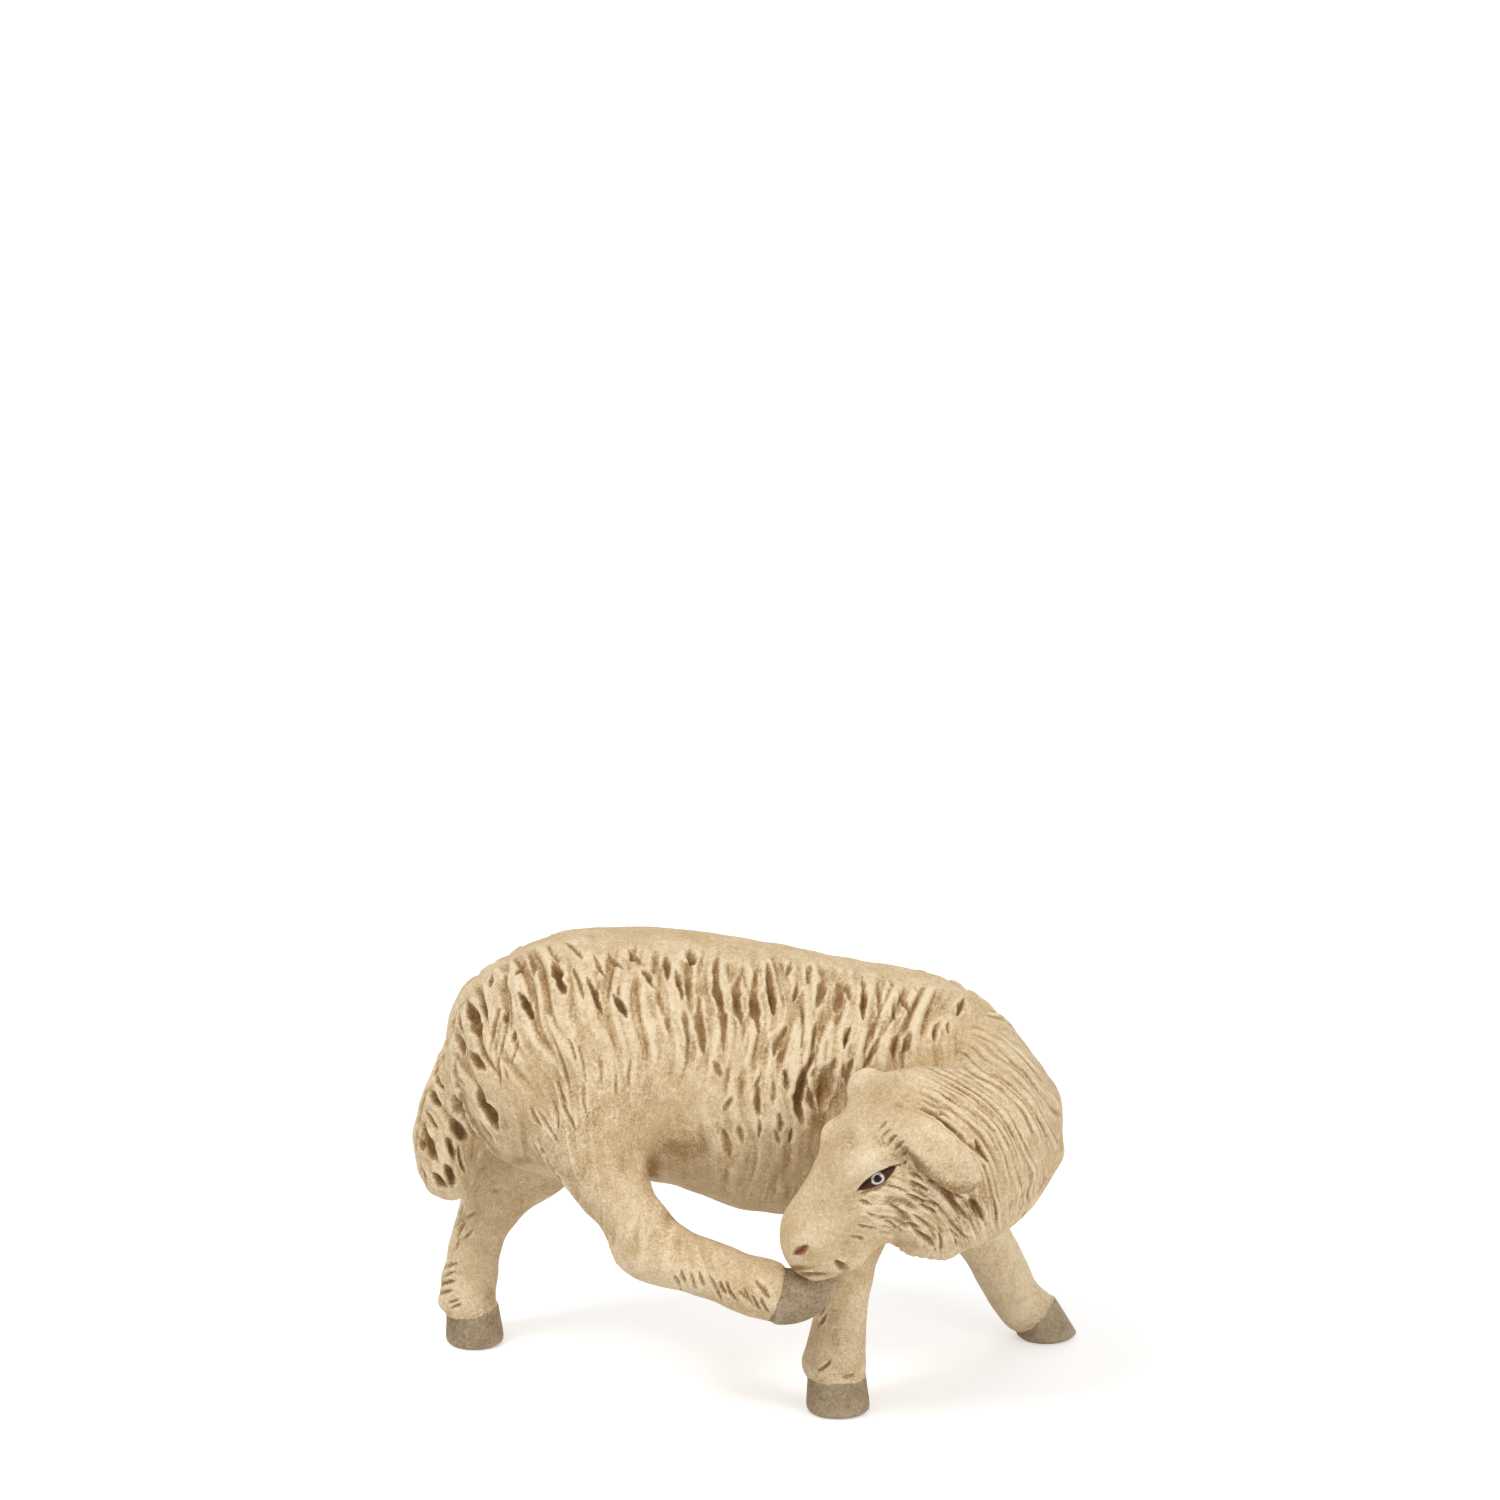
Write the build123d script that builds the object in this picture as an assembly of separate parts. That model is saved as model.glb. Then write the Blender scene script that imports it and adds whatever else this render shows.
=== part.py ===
"""A standing sheep figurine that turns its head back to nibble its raised hind hoof.

Pressed composition on a wire armature: a hollow trunk in two halves that close on a
lapped seam, a turned neck, a head with tenoned ears, a tail trapped in the seam, four
legs and their hooves, each threaded on a bent wire.  +X is the way the trunk faces,
+Y its left side, +Z up.  The origin is the middle of the bounding box's floor face.
"""

from build123d import *
import os
from math import cos, pi, radians, sin

# Driving dimensions, in millimetres
TRUNK_LENGTH = 59.0
TRUNK_WIDTH = 25.0
TRUNK_DEPTH = 28.6
TRUNK_RISE = 33.4
SHELL_WALL = 3.0
SEAM_LIP = 1.2
SEAM_CLEARANCE = 0.05
WOOL_CUT_LENGTH = 6.0
WOOL_CUT_RADIUS = 1.0
WOOL_CUT_DEPTH = 0.6

NECK_BEND_RADIUS = 9.0
NECK_WIDTH = 15.2
NECK_DEPTH = 20.4
NECK_DROP = 3.6

HEAD_LENGTH = 21.0
HEAD_WIDTH = 11.8
HEAD_DEPTH = 12.8
HEAD_LIFT = 6.4
HEAD_OFFSET = 1.2
HEAD_PITCH_DEGREES = 57.0

EAR_LENGTH = 12.5
EAR_WIDTH = 5.0
EAR_THICKNESS = 2.6

TAIL_LENGTH = 19.0
TAIL_WIDTH = 7.6
TAIL_THICKNESS = 7.0

LEG_WIDTH = 5.4
HOOF_HEIGHT = 4.0
HOOF_WIDTH = 6.2
HOOF_LENGTH = 6.8
SOLE_ROUNDING = 0.4

WIRE_DIAMETER = 1.3
WIRE_CLEARANCE = 0.05
WIRE_BEND_RADIUS = 2.0

# How many points the closed curve of a section passes through
RING_POINTS = 8

# Trunk stations from rump to chest: along, lift, half width, half depth
TRUNK_SHARES = (
    (0.014, 0.080, 0.37, 0.36),
    (0.059, 0.056, 0.67, 0.64),
    (0.136, 0.056, 0.86, 0.84),
    (0.263, 0.077, 0.96, 0.93),
    (0.398, 0.066, 0.98, 0.94),
    (0.534, 0.000, 1.00, 1.00),
    (0.678, -0.045, 0.98, 0.97),
    (0.805, -0.052, 0.93, 0.88),
    (0.898, -0.035, 0.77, 0.77),
    (0.966, -0.007, 0.48, 0.52),
)
RUMP_LIFT_SHARE = 0.080
CHEST_LIFT_SHARE = -0.014
# The main cuts in the wool of each half: along, height in degrees round the trunk, lean, length
WOOL_CUT_SHARES = (
    (0.049, 54, -0.35, 0.75),
    (0.071, -4, -0.45, 1.00),
    (0.139, 53, -0.40, 0.60),
    (0.196, 64, -0.40, 0.70),
    (0.262, 55, -0.40, 0.70),
    (0.306, 51, -0.50, 0.60),
    (0.344, 70, -0.50, 0.80),
    (0.424, 38, -0.10, 0.75),
    (0.447, 38, -0.10, 1.05),
    (0.481, 50, 0.05, 1.45),
    (0.515, 51, -0.05, 0.90),
    (0.547, 48, -0.05, 1.10),
    (0.554, 5, 0.00, 0.70),
    (0.576, 52, -0.10, 1.00),
    (0.592, 28, 0.40, 0.75),
    (0.627, 5, 0.15, 1.30),
    (0.663, 60, 0.20, 0.70),
    (0.676, 7, 0.20, 0.80),
    (0.695, 60, 0.10, 0.75),
    (0.738, 57, 0.00, 0.85),
)

# Neck stations round the bend: turn in degrees, then shares of drop, width and depth
NECK_STATIONS = (
    (0, (0.00, 0.90, 0.84)),
    (30, (0.30, 0.94, 0.93)),
    (60, (0.65, 0.96, 0.91)),
    (90, (0.95, 0.94, 0.90)),
    (120, (1.00, 0.94, 0.93)),
    (150, (1.00, 0.91, 0.96)),
    (180, (1.00, 0.86, 0.96)),
)
NECK_ROOT_SHARE = 0.814
# The neck's rounded end behind the jaw: reach, half width, half depth
NECK_END_SHARES = (
    (0.08, 0.78, 0.88),
    (0.15, 0.55, 0.62),
)
NECK_TIP_SHARE = 0.18

# Head stations from poll to muzzle: along, half width, half depth above and below its axis
HEAD_SHARES = (
    (0.00, 0.56, 0.46, 0.60),
    (0.12, 0.88, 0.75, 0.94),
    (0.30, 1.00, 0.84, 1.14),
    (0.50, 0.88, 0.76, 1.08),
    (0.70, 0.73, 0.73, 0.84),
    (0.85, 0.67, 0.66, 0.67),
    (0.95, 0.48, 0.41, 0.46),
)

# Ear roots in the head: along its axis, out to its side, above its axis
EAR_ROOT_SHARES = (0.12, 0.50, 0.20)
# Ear stations out of the root: back, left and up, then half width and half thickness
LEFT_EAR_SHARES = (
    (0.00, 0.00, 0.00, 0.62, 0.80),
    (0.24, -0.23, 0.08, 0.86, 1.00),
    (0.48, -0.31, -0.13, 1.00, 0.90),
    (0.64, -0.29, -0.33, 0.80, 0.72),
    (0.69, -0.27, -0.40, 0.48, 0.50),
)
LEFT_EAR_TIP_SHARES = (0.71, -0.26, -0.43)
RIGHT_EAR_SHARES = (
    (0.00, 0.00, 0.00, 0.62, 0.80),
    (-0.08, 0.08, 0.10, 0.72, 1.00),
    (-0.17, 0.15, 0.15, 0.68, 0.90),
    (-0.23, 0.20, 0.16, 0.42, 0.60),
)
RIGHT_EAR_TIP_SHARES = (-0.26, 0.22, 0.16)
# Which way each ear's width lies
LEFT_EAR_SPREAD = (1, 0, 1)
RIGHT_EAR_SPREAD = (1, 0, 3)

# Tail stations from root to tip: along its length, set-back behind the rump, half width
TAIL_SHARES = (
    (0.00, -0.43, 0.60),
    (0.20, -0.26, 0.82),
    (0.45, -0.06, 0.94),
    (0.71, 0.03, 1.00),
    (0.89, 0.01, 0.78),
)
TAIL_TIP_SHARE = -0.08
TAIL_ROOT_SHARE = 0.17

# Where each leg begins inside the trunk: along, across, height
FORE_LEFT_ROOT_SHARES = (0.800, 0.30, 1.00)
FORE_RIGHT_ROOT_SHARES = (0.790, -0.40, 1.06)
HIND_LEFT_ROOT_SHARES = (0.260, 0.42, 1.10)
HIND_RIGHT_ROOT_SHARES = (0.275, -0.45, 1.20)
# How thick a leg begins, of its first station
LEG_ROOT_SHARE = 0.60
# Leg stations from the trunk down: along, across, height, half thickness fore-and-aft and across
FORE_LEFT_SHARES = (
    (0.839, 0.61, 0.883, 1.00, 0.81),
    (0.875, 0.65, 0.720, 0.91, 0.74),
    (0.915, 0.69, 0.524, 0.71, 0.63),
    (0.956, 0.735, 0.362, 0.57, 0.54),
    (0.995, 0.76, 0.230, 0.51, 0.50),
    (1.033, 0.772, 0.128, 0.51, 0.51),
)
FORE_RIGHT_SHARES = (
    (0.783, -0.62, 0.900, 0.95, 0.84),
    (0.758, -0.73, 0.720, 0.76, 0.74),
    (0.731, -0.79, 0.584, 0.57, 0.58),
    (0.713, -0.85, 0.460, 0.51, 0.51),
    (0.701, -0.89, 0.330, 0.51, 0.50),
    (0.692, -0.91, 0.220, 0.57, 0.55),
)
HIND_LEFT_SHARES = (
    (0.245, 0.67, 0.975, 1.06, 0.92),
    (0.210, 0.71, 0.810, 1.12, 0.86),
    (0.143, 0.69, 0.640, 1.00, 0.74),
    (0.083, 0.656, 0.497, 0.74, 0.59),
    (0.049, 0.64, 0.386, 0.53, 0.50),
    (0.034, 0.64, 0.269, 0.52, 0.50),
    (0.027, 0.64, 0.174, 0.57, 0.53),
)
HIND_RIGHT_SHARES = (
    (0.266, -0.66, 1.060, 1.16, 0.93),
    (0.268, -0.784, 0.930, 1.18, 0.91),
    (0.280, -0.91, 0.832, 0.98, 0.83),
    (0.306, -1.03, 0.735, 0.72, 0.70),
)
# Shank stations from the last one of the thigh to the fetlock: reach, left, above, half thicknesses
RAISED_SHANK_SHARES = (
    (0.168, -0.12, -0.36, 0.62, 0.60),
    (0.369, -0.14, -0.39, 0.54, 0.55),
    (0.770, -0.05, -0.19, 0.51, 0.52),
)
# Where a standing leg meets its hoof: along, across, height and half thickness
FORE_LEFT_CORONET_SHARES = (1.060, 0.775, 0.64, 0.51)
FORE_RIGHT_CORONET_SHARES = (0.692, -0.920, 1.00, 0.57)
HIND_LEFT_CORONET_SHARES = (0.034, 0.640, 0.95, 0.53)
# How far each sole stands in front of its coronet, and its length
FORE_LEFT_SOLE_SHARES = (0.16, 0.98)
FORE_RIGHT_SOLE_SHARES = (0.02, 1.00)
HIND_LEFT_SOLE_SHARES = (0.03, 0.94)
# The raised hoof under the muzzle: places from the muzzle's tip, then half thickness
RAISED_FETLOCK_SHARES = (-0.74, 0.37, -0.60, 0.57)
RAISED_CORONET_SHARES = (-0.35, 0.37, -0.67, 0.55)
RAISED_HOOF_SHARES = (
    (0.10, 0.36, -0.62, 0.51),
    (0.48, 0.32, -0.47, 0.35),
)
RAISED_TOE_SHARES = (0.80, 0.28, -0.33)
# How far the wires reach into the hooves and along the head
HOOF_BORE_SHARE = 0.60
HEAD_BORE_SHARES = (0.34, 0.00, -0.45)


def trunk_point(along, across, height):
    """A point by shares of the trunk's length, half width and rise."""
    return Vector(along * TRUNK_LENGTH, across * TRUNK_WIDTH / 2, height * TRUNK_RISE)


def ring(centre, facing, across, half_width, half_up, half_down=None):
    """A closed egg-shaped section: across is its local X, and up its local Y."""
    half_down = half_up if half_down is None else half_down
    points = []
    for step in range(RING_POINTS):
        angle = 2 * pi * step / RING_POINTS
        tall = half_up if sin(angle) > 0 else half_down
        points.append((half_width * cos(angle), tall * sin(angle)))
    section = Plane(centre, x_dir=across, z_dir=facing)
    return section * make_face(Spline(*points, periodic=True))


def trunk_form(inset):
    """The trunk's outside, or the same form inside it by the inset."""
    rings = []
    for along, lift, wide, deep in TRUNK_SHARES:
        x = inset + along * (TRUNK_LENGTH - 2 * inset)
        centre = Vector(x, 0, TRUNK_RISE + lift * TRUNK_DEPTH)
        half_width = wide * (TRUNK_WIDTH / 2 - inset)
        half_depth = deep * (TRUNK_DEPTH / 2 - inset)
        rings.append(ring(centre, (1, 0, 0), (0, 1, 0), half_width, half_depth))
    rump = Vertex(inset, 0, TRUNK_RISE + RUMP_LIFT_SHARE * TRUNK_DEPTH)
    chest = Vertex(TRUNK_LENGTH - inset, 0, TRUNK_RISE + CHEST_LIFT_SHARE * TRUNK_DEPTH)
    return loft([rump, *rings, chest])


def side_block(inner, outer):
    """All the space between two upright planes along the trunk, at these places across it."""
    block = Box(4 * TRUNK_LENGTH, outer - inner, 4 * TRUNK_RISE)
    return Pos(TRUNK_LENGTH / 2, (inner + outer) / 2, TRUNK_RISE) * block


def trunk_shells(trunk):
    """The two hollow halves: the left one's lip laps inside the right one's rebate."""
    hollow = trunk_form(SHELL_WALL)
    lip = trunk_form(SHELL_WALL / 2 + SEAM_CLEARANCE) & side_block(-SEAM_LIP, 0)
    rebate = trunk_form(SHELL_WALL / 2) & side_block(-SEAM_LIP - SEAM_CLEARANCE, 0)
    left = (trunk & side_block(0, TRUNK_WIDTH)) + lip - hollow
    right = (trunk & side_block(-TRUNK_WIDTH, 0)) - rebate - hollow
    return left, right


def wool_cutter(trunk, side, along, turn, lean, length):
    """A spindle that cuts one lens into the trunk, on its left side (1) or its right (-1)."""
    angle = radians(turn)
    outward = Vector(0, side * cos(angle), sin(angle))
    ray = Axis(trunk_point(along, 0, 1), outward)
    place, facing = max(trunk.find_intersection_points(ray), key=lambda hit: hit[0].dot(outward))
    lay = Vector(lean, 0, 1)
    half_length = length * WOOL_CUT_LENGTH / 2
    arc = ThreePointArc((-half_length, 0), (0, WOOL_CUT_RADIUS), (half_length, 0))
    spindle = revolve(make_face([arc, Line(arc @ 1, arc @ 0)]), Axis.X)
    middle = place + facing * (WOOL_CUT_RADIUS - WOOL_CUT_DEPTH)
    return Plane(middle, x_dir=lay - facing * lay.dot(facing), z_dir=facing) * spindle


def neck_point(turn, drop):
    """A point on the neck's centre line after a turn to the right, in degrees."""
    angle = radians(turn)
    x = NECK_ROOT_SHARE * TRUNK_LENGTH + NECK_BEND_RADIUS * sin(angle)
    y = NECK_BEND_RADIUS * (cos(angle) - 1)
    return Vector(x, y, TRUNK_RISE - drop * NECK_DROP)


def neck_line():
    """The neck's centre line, from inside the chest to the jaw."""
    return [neck_point(turn, shares[0]) for turn, shares in NECK_STATIONS]


def neck_form():
    """The neck from inside the chest, round its bend to the rounded end behind the jaw."""
    rings = []
    for turn, (drop, wide, deep) in NECK_STATIONS:
        angle = radians(turn)
        facing = (cos(angle), -sin(angle), 0)
        outward = (sin(angle), cos(angle), 0)
        centre = neck_point(turn, drop)
        rings.append(ring(centre, facing, outward, wide * NECK_WIDTH / 2, deep * NECK_DEPTH / 2))
    end = neck_line()[-1]
    for reach, wide, deep in NECK_END_SHARES:
        centre = end - Vector(reach * NECK_WIDTH, 0, 0)
        rings.append(ring(centre, (-1, 0, 0), (0, -1, 0), wide * NECK_WIDTH / 2, deep * NECK_DEPTH / 2))
    tip = end - Vector(NECK_TIP_SHARE * NECK_WIDTH, 0, 0)
    return loft([*rings, Vertex(*tip)])


def head_axis():
    """The direction from poll to muzzle."""
    pitch = radians(HEAD_PITCH_DEGREES)
    return Vector(-cos(pitch), 0, -sin(pitch))


def head_crown():
    """The direction out of the forehead, square to the head's axis."""
    pitch = radians(HEAD_PITCH_DEGREES)
    return Vector(-sin(pitch), 0, cos(pitch))


def head_point(along, out, above):
    """A point by shares of the head's length, half width to its left and half depth above its axis."""
    root = neck_line()[-1] + Vector(0, -HEAD_OFFSET, HEAD_LIFT)
    left = Vector(0, -out * HEAD_WIDTH / 2, 0)
    return root + head_axis() * (along * HEAD_LENGTH) + left + head_crown() * (above * HEAD_DEPTH / 2)


def head_form():
    """The head: its flat back is seated inside the neck's wool."""
    rings = []
    for along, wide, above, below in HEAD_SHARES:
        half_up = above * HEAD_DEPTH / 2
        half_down = below * HEAD_DEPTH / 2
        centre = head_point(along, 0, 0)
        rings.append(ring(centre, head_axis(), (0, -1, 0), wide * HEAD_WIDTH / 2, half_up, half_down))
    return loft([*rings, Vertex(*head_point(1, 0, 0))])


def facings(centres):
    """The direction of a limb at each of its stations."""
    last = len(centres) - 1
    return [centres[min(k + 1, last)] - centres[max(k - 1, 0)] for k in range(last + 1)]


def ear_form(root, shares, tip_shares, spread):
    """A flat, rounded ear: its root is the tenon that the head holds."""
    centres = [root + Vector(*row[:3]) * EAR_LENGTH for row in shares]
    tip = root + Vector(*tip_shares) * EAR_LENGTH
    rings = []
    for centre, facing, row in zip(centres, facings([*centres, tip]), shares):
        half_wide = row[3] * EAR_WIDTH / 2
        half_thick = row[4] * EAR_THICKNESS / 2
        rings.append(ring(centre, facing, spread, half_wide, half_thick))
    return loft([*rings, Vertex(*tip)])


def tail_form():
    """The woolly tail: its root is trapped between the trunk's two halves."""
    top = TRUNK_RISE + TAIL_ROOT_SHARE * TRUNK_DEPTH
    rings = []
    for along, set_back, wide in TAIL_SHARES:
        centre = Vector(-set_back * TAIL_THICKNESS, 0, top - along * TAIL_LENGTH)
        half_thick = wide * TAIL_THICKNESS / 2
        rings.append(ring(centre, (0, 0, -1), (0, 1, 0), wide * TAIL_WIDTH / 2, half_thick))
    tip = Vertex(-TAIL_TIP_SHARE * TAIL_THICKNESS, 0, top - TAIL_LENGTH)
    return loft([*rings, tip])


def leg_stations(shares):
    """Leg stations as centres and their two half thicknesses, from the trunk down."""
    return [
        (trunk_point(along, across, height), deep * LEG_WIDTH, wide * LEG_WIDTH)
        for along, across, height, deep, wide in shares
    ]


def standing_leg(shares, coronet_shares):
    """Stations of a leg that stands on the floor, down to the top of its hoof."""
    along, across, height, half = coronet_shares
    coronet = trunk_point(along, across, 0) + Vector(0, 0, height * HOOF_HEIGHT)
    return [*leg_stations(shares), (coronet, half * LEG_WIDTH, half * LEG_WIDTH)]


def muzzle_point(ahead, left, above):
    """A point from the muzzle's tip, by shares of the leg's width."""
    return head_point(1, 0, 0) + Vector(ahead, left, above) * LEG_WIDTH


def raised_leg(shares):
    """Stations of the raised hind leg, from the haunch to the hoof under the muzzle."""
    ends = []
    for ahead, left, above, half in (RAISED_FETLOCK_SHARES, RAISED_CORONET_SHARES):
        ends.append((muzzle_point(ahead, left, above), half * LEG_WIDTH, half * LEG_WIDTH))
    thigh = leg_stations(shares)
    knee, fetlock = thigh[-1][0], ends[0][0]
    shank = []
    for reach, left, above, deep, wide in RAISED_SHANK_SHARES:
        centre = knee + (fetlock - knee) * reach + Vector(0, left, above) * LEG_WIDTH
        shank.append((centre, deep * LEG_WIDTH, wide * LEG_WIDTH))
    return [*thigh, *shank, *ends]


def limb_rings(stations):
    """Round and oval sections square to the line of their centres."""
    centres = [centre for centre, deep, wide in stations]
    return [
        ring(centre, facing, (0, 1, 0), wide, deep)
        for (centre, deep, wide), facing in zip(stations, facings(centres))
    ]


def standing_hoof(coronet_ring, coronet, sole_shares):
    """A hoof from its coronet down to a flat sole on the floor."""
    forward, length = sole_shares
    half = length * HOOF_LENGTH / 2
    sole_centre = Vector(coronet.X + forward * HOOF_LENGTH, coronet.Y, 0)
    rim_centre = sole_centre + Vector(0, 0, SOLE_ROUNDING)
    half_width = HOOF_WIDTH / 2
    rim = ring(rim_centre, (0, 0, -1), (0, 1, 0), half_width, half)
    sole = ring(sole_centre, (0, 0, -1), (0, 1, 0), half_width - SOLE_ROUNDING, half - SOLE_ROUNDING)
    return loft([coronet_ring, rim, sole], ruled=True)


def raised_hoof(coronet_ring, coronet):
    """The hoof that the muzzle rests on, closing to its toe."""
    centres = [coronet, *(muzzle_point(*row[:3]) for row in RAISED_HOOF_SHARES)]
    toe = muzzle_point(*RAISED_TOE_SHARES)
    directions = facings([*centres, toe])
    rings = [
        ring(centre, facing, (0, 1, 0), row[3] * LEG_WIDTH, row[3] * LEG_WIDTH)
        for centre, facing, row in zip(centres[1:], directions[1:], RAISED_HOOF_SHARES)
    ]
    return loft([coronet_ring, *rings, Vertex(*toe)])


def wire_form(points, diameter):
    """A wire bent through these points."""
    path = FilletPolyline(*points, radius=WIRE_BEND_RADIUS)
    return sweep(Plane(path @ 0, z_dir=path % 0) * Circle(diameter / 2), path=path)


def wire_and_bore(points):
    """A wire, and the slightly wider bore that it lies in."""
    return wire_form(points, WIRE_DIAMETER), wire_form(points, WIRE_DIAMETER + 2 * WIRE_CLEARANCE)


def main():
    os.makedirs("parts", exist_ok=True)
    trunk = trunk_form(0)
    neck = neck_form()
    head = head_form()
    tail = tail_form()
    left_shell, right_shell = trunk_shells(trunk)
    pieces = {"tail": tail}

    along, out, above = EAR_ROOT_SHARES
    left_ear = ear_form(
        head_point(along, out, above), LEFT_EAR_SHARES, LEFT_EAR_TIP_SHARES, LEFT_EAR_SPREAD
    )
    right_ear = ear_form(
        head_point(along, -out, above), RIGHT_EAR_SHARES, RIGHT_EAR_TIP_SHARES, RIGHT_EAR_SPREAD
    )
    pieces["left_ear"] = left_ear
    pieces["right_ear"] = right_ear - trunk

    neck_wire, neck_bore = wire_and_bore([*neck_line(), head_point(*HEAD_BORE_SHARES)])
    pieces["neck_wire"] = neck_wire
    pieces["neck"] = neck - [trunk, head, left_ear, right_ear, neck_bore]
    pieces["head"] = head - [trunk, left_ear, right_ear, neck_bore]

    legs = (
        ("fore_left", FORE_LEFT_ROOT_SHARES, standing_leg(FORE_LEFT_SHARES, FORE_LEFT_CORONET_SHARES)),
        ("fore_right", FORE_RIGHT_ROOT_SHARES, standing_leg(FORE_RIGHT_SHARES, FORE_RIGHT_CORONET_SHARES)),
        ("hind_left", HIND_LEFT_ROOT_SHARES, standing_leg(HIND_LEFT_SHARES, HIND_LEFT_CORONET_SHARES)),
        ("hind_right", HIND_RIGHT_ROOT_SHARES, raised_leg(HIND_RIGHT_SHARES)),
    )
    soles = {
        "fore_left": FORE_LEFT_SOLE_SHARES,
        "fore_right": FORE_RIGHT_SOLE_SHARES,
        "hind_left": HIND_LEFT_SOLE_SHARES,
    }
    neighbours = {
        "fore_left": [trunk, neck],
        "fore_right": [trunk, neck],
        "hind_left": [trunk, tail],
        "hind_right": [trunk, head],
    }
    bores = {}
    for name, root_shares, stations in legs:
        root = trunk_point(*root_shares)
        deep, wide = stations[0][1:]
        rings = limb_rings([(root, LEG_ROOT_SHARE * deep, LEG_ROOT_SHARE * wide), *stations])
        coronet = stations[-1][0]
        if name in soles:
            hoof = standing_hoof(rings[-1], coronet, soles[name])
            hoof_end = coronet - Vector(0, 0, HOOF_BORE_SHARE * coronet.Z)
        else:
            hoof = raised_hoof(rings[-1], coronet) - head
            hoof_end = coronet + (muzzle_point(*RAISED_TOE_SHARES) - coronet) * HOOF_BORE_SHARE
        wire, bore = wire_and_bore([root, *(station[0] for station in stations), hoof_end])
        pieces[f"{name}_leg"] = loft(rings) - neighbours[name] - bore
        pieces[f"{name}_hoof"] = hoof - bore
        pieces[f"{name}_wire"] = wire
        bores[name] = bore

    left_cuts, right_cuts = (
        [wool_cutter(trunk, side, *shares) for shares in WOOL_CUT_SHARES] for side in (1, -1)
    )
    left_shell = left_shell - left_cuts
    right_shell = right_shell - right_cuts
    pieces["trunk_left_shell"] = left_shell - [tail, bores["fore_left"], bores["hind_left"]]
    pieces["trunk_right_shell"] = right_shell - [tail, neck_bore, bores["fore_right"], bores["hind_right"]]

    boxes = [piece.bounding_box() for piece in pieces.values()]
    middle_x = (min(box.min.X for box in boxes) + max(box.max.X for box in boxes)) / 2
    middle_y = (min(box.min.Y for box in boxes) + max(box.max.Y for box in boxes)) / 2
    floor_z = min(box.min.Z for box in boxes)
    for name, piece in pieces.items():
        export_step(Pos(-middle_x, -middle_y, -floor_z) * piece, f"parts/{name}.step")


main()
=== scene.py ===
# %% [markdown]
# # A carved and painted sheep
# The figure stands on three legs and nibbles a raised hind hoof. The CAD model
# gives its main forms as separate pieces. Here they become one skin, are carved
# like soft clay, painted, and cut into the same pieces again.

# %% Load the frame
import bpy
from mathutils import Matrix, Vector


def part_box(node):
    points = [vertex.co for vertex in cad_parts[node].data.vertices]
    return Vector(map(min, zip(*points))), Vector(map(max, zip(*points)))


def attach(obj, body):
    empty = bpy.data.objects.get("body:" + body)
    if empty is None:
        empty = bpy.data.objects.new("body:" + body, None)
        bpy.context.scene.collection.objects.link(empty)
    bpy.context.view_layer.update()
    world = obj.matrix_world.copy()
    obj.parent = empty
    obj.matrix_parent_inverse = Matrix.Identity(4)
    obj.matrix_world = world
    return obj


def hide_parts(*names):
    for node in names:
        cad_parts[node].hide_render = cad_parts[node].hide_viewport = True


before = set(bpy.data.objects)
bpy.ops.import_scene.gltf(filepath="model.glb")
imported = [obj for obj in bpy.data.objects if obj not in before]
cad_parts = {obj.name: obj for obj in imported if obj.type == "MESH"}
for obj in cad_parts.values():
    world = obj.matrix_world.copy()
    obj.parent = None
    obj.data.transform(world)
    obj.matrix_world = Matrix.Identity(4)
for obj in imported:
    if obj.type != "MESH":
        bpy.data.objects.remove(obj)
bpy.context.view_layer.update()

# %% Modules and the unit
import math
import bmesh
import bpy
import numpy as np
from mathutils import Vector
from mathutils.bvhtree import BVHTree
MM = 0.001

# %% [markdown]
# ## The camera
# The photograph looks down about 20 degrees at the sheep's right side, from far
# off. The camera comes first, because the carving is placed by what the camera
# sees: a pixel of the photograph is a ray, and the ray ends on the skin. The
# camera is turned up a little, so the sheep stands low in the frame and no
# shift is needed.

# %% Camera
PHOTO_SIZE = 1500
AIM_POINT = np.array((-0.123, 6.704, 24.0)) * MM
AIM_PIXEL = (747.5, 1156.7)
CAMERA_DISTANCE = 700 * MM
LOOK_DOWN = math.radians(20)
PIXELS_PER_METRE = 9500
middle = PHOTO_SIZE / 2
aim_reach = PIXELS_PER_METRE * CAMERA_DISTANCE
tilt = math.asin((AIM_PIXEL[1] - middle) / aim_reach)
focal_pixels = aim_reach * math.cos(tilt)
sideways = np.array((1.0, 0.0, 0.0))
ahead = np.array((0.0, math.cos(LOOK_DOWN - tilt), -math.sin(LOOK_DOWN - tilt)))
upward = np.cross(sideways, ahead)
eye_place = AIM_POINT - CAMERA_DISTANCE * np.array((0.0, math.cos(LOOK_DOWN), -math.sin(LOOK_DOWN)))
eye_place = eye_place + sideways * (middle - AIM_PIXEL[0]) / PIXELS_PER_METRE

camera_data = bpy.data.cameras.new("photo_camera")
camera_data.sensor_width = 36
camera_data.lens = focal_pixels / PHOTO_SIZE * camera_data.sensor_width
camera_data.clip_start = 10 * MM
camera = bpy.data.objects.new("photo_camera", camera_data)
camera.location = eye_place
camera.rotation_euler = (math.pi / 2 - LOOK_DOWN + tilt, 0, 0)
bpy.context.collection.objects.link(camera)
bpy.context.scene.camera = camera
print("lens", round(camera_data.lens, 1), "mm")


def photo_pixels(points):
    """Where points of the skin appear in the photograph."""
    away = points - eye_place
    depth = away @ ahead
    return (middle + focal_pixels * (away @ sideways) / depth,
            middle - focal_pixels * (away @ upward) / depth)


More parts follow.
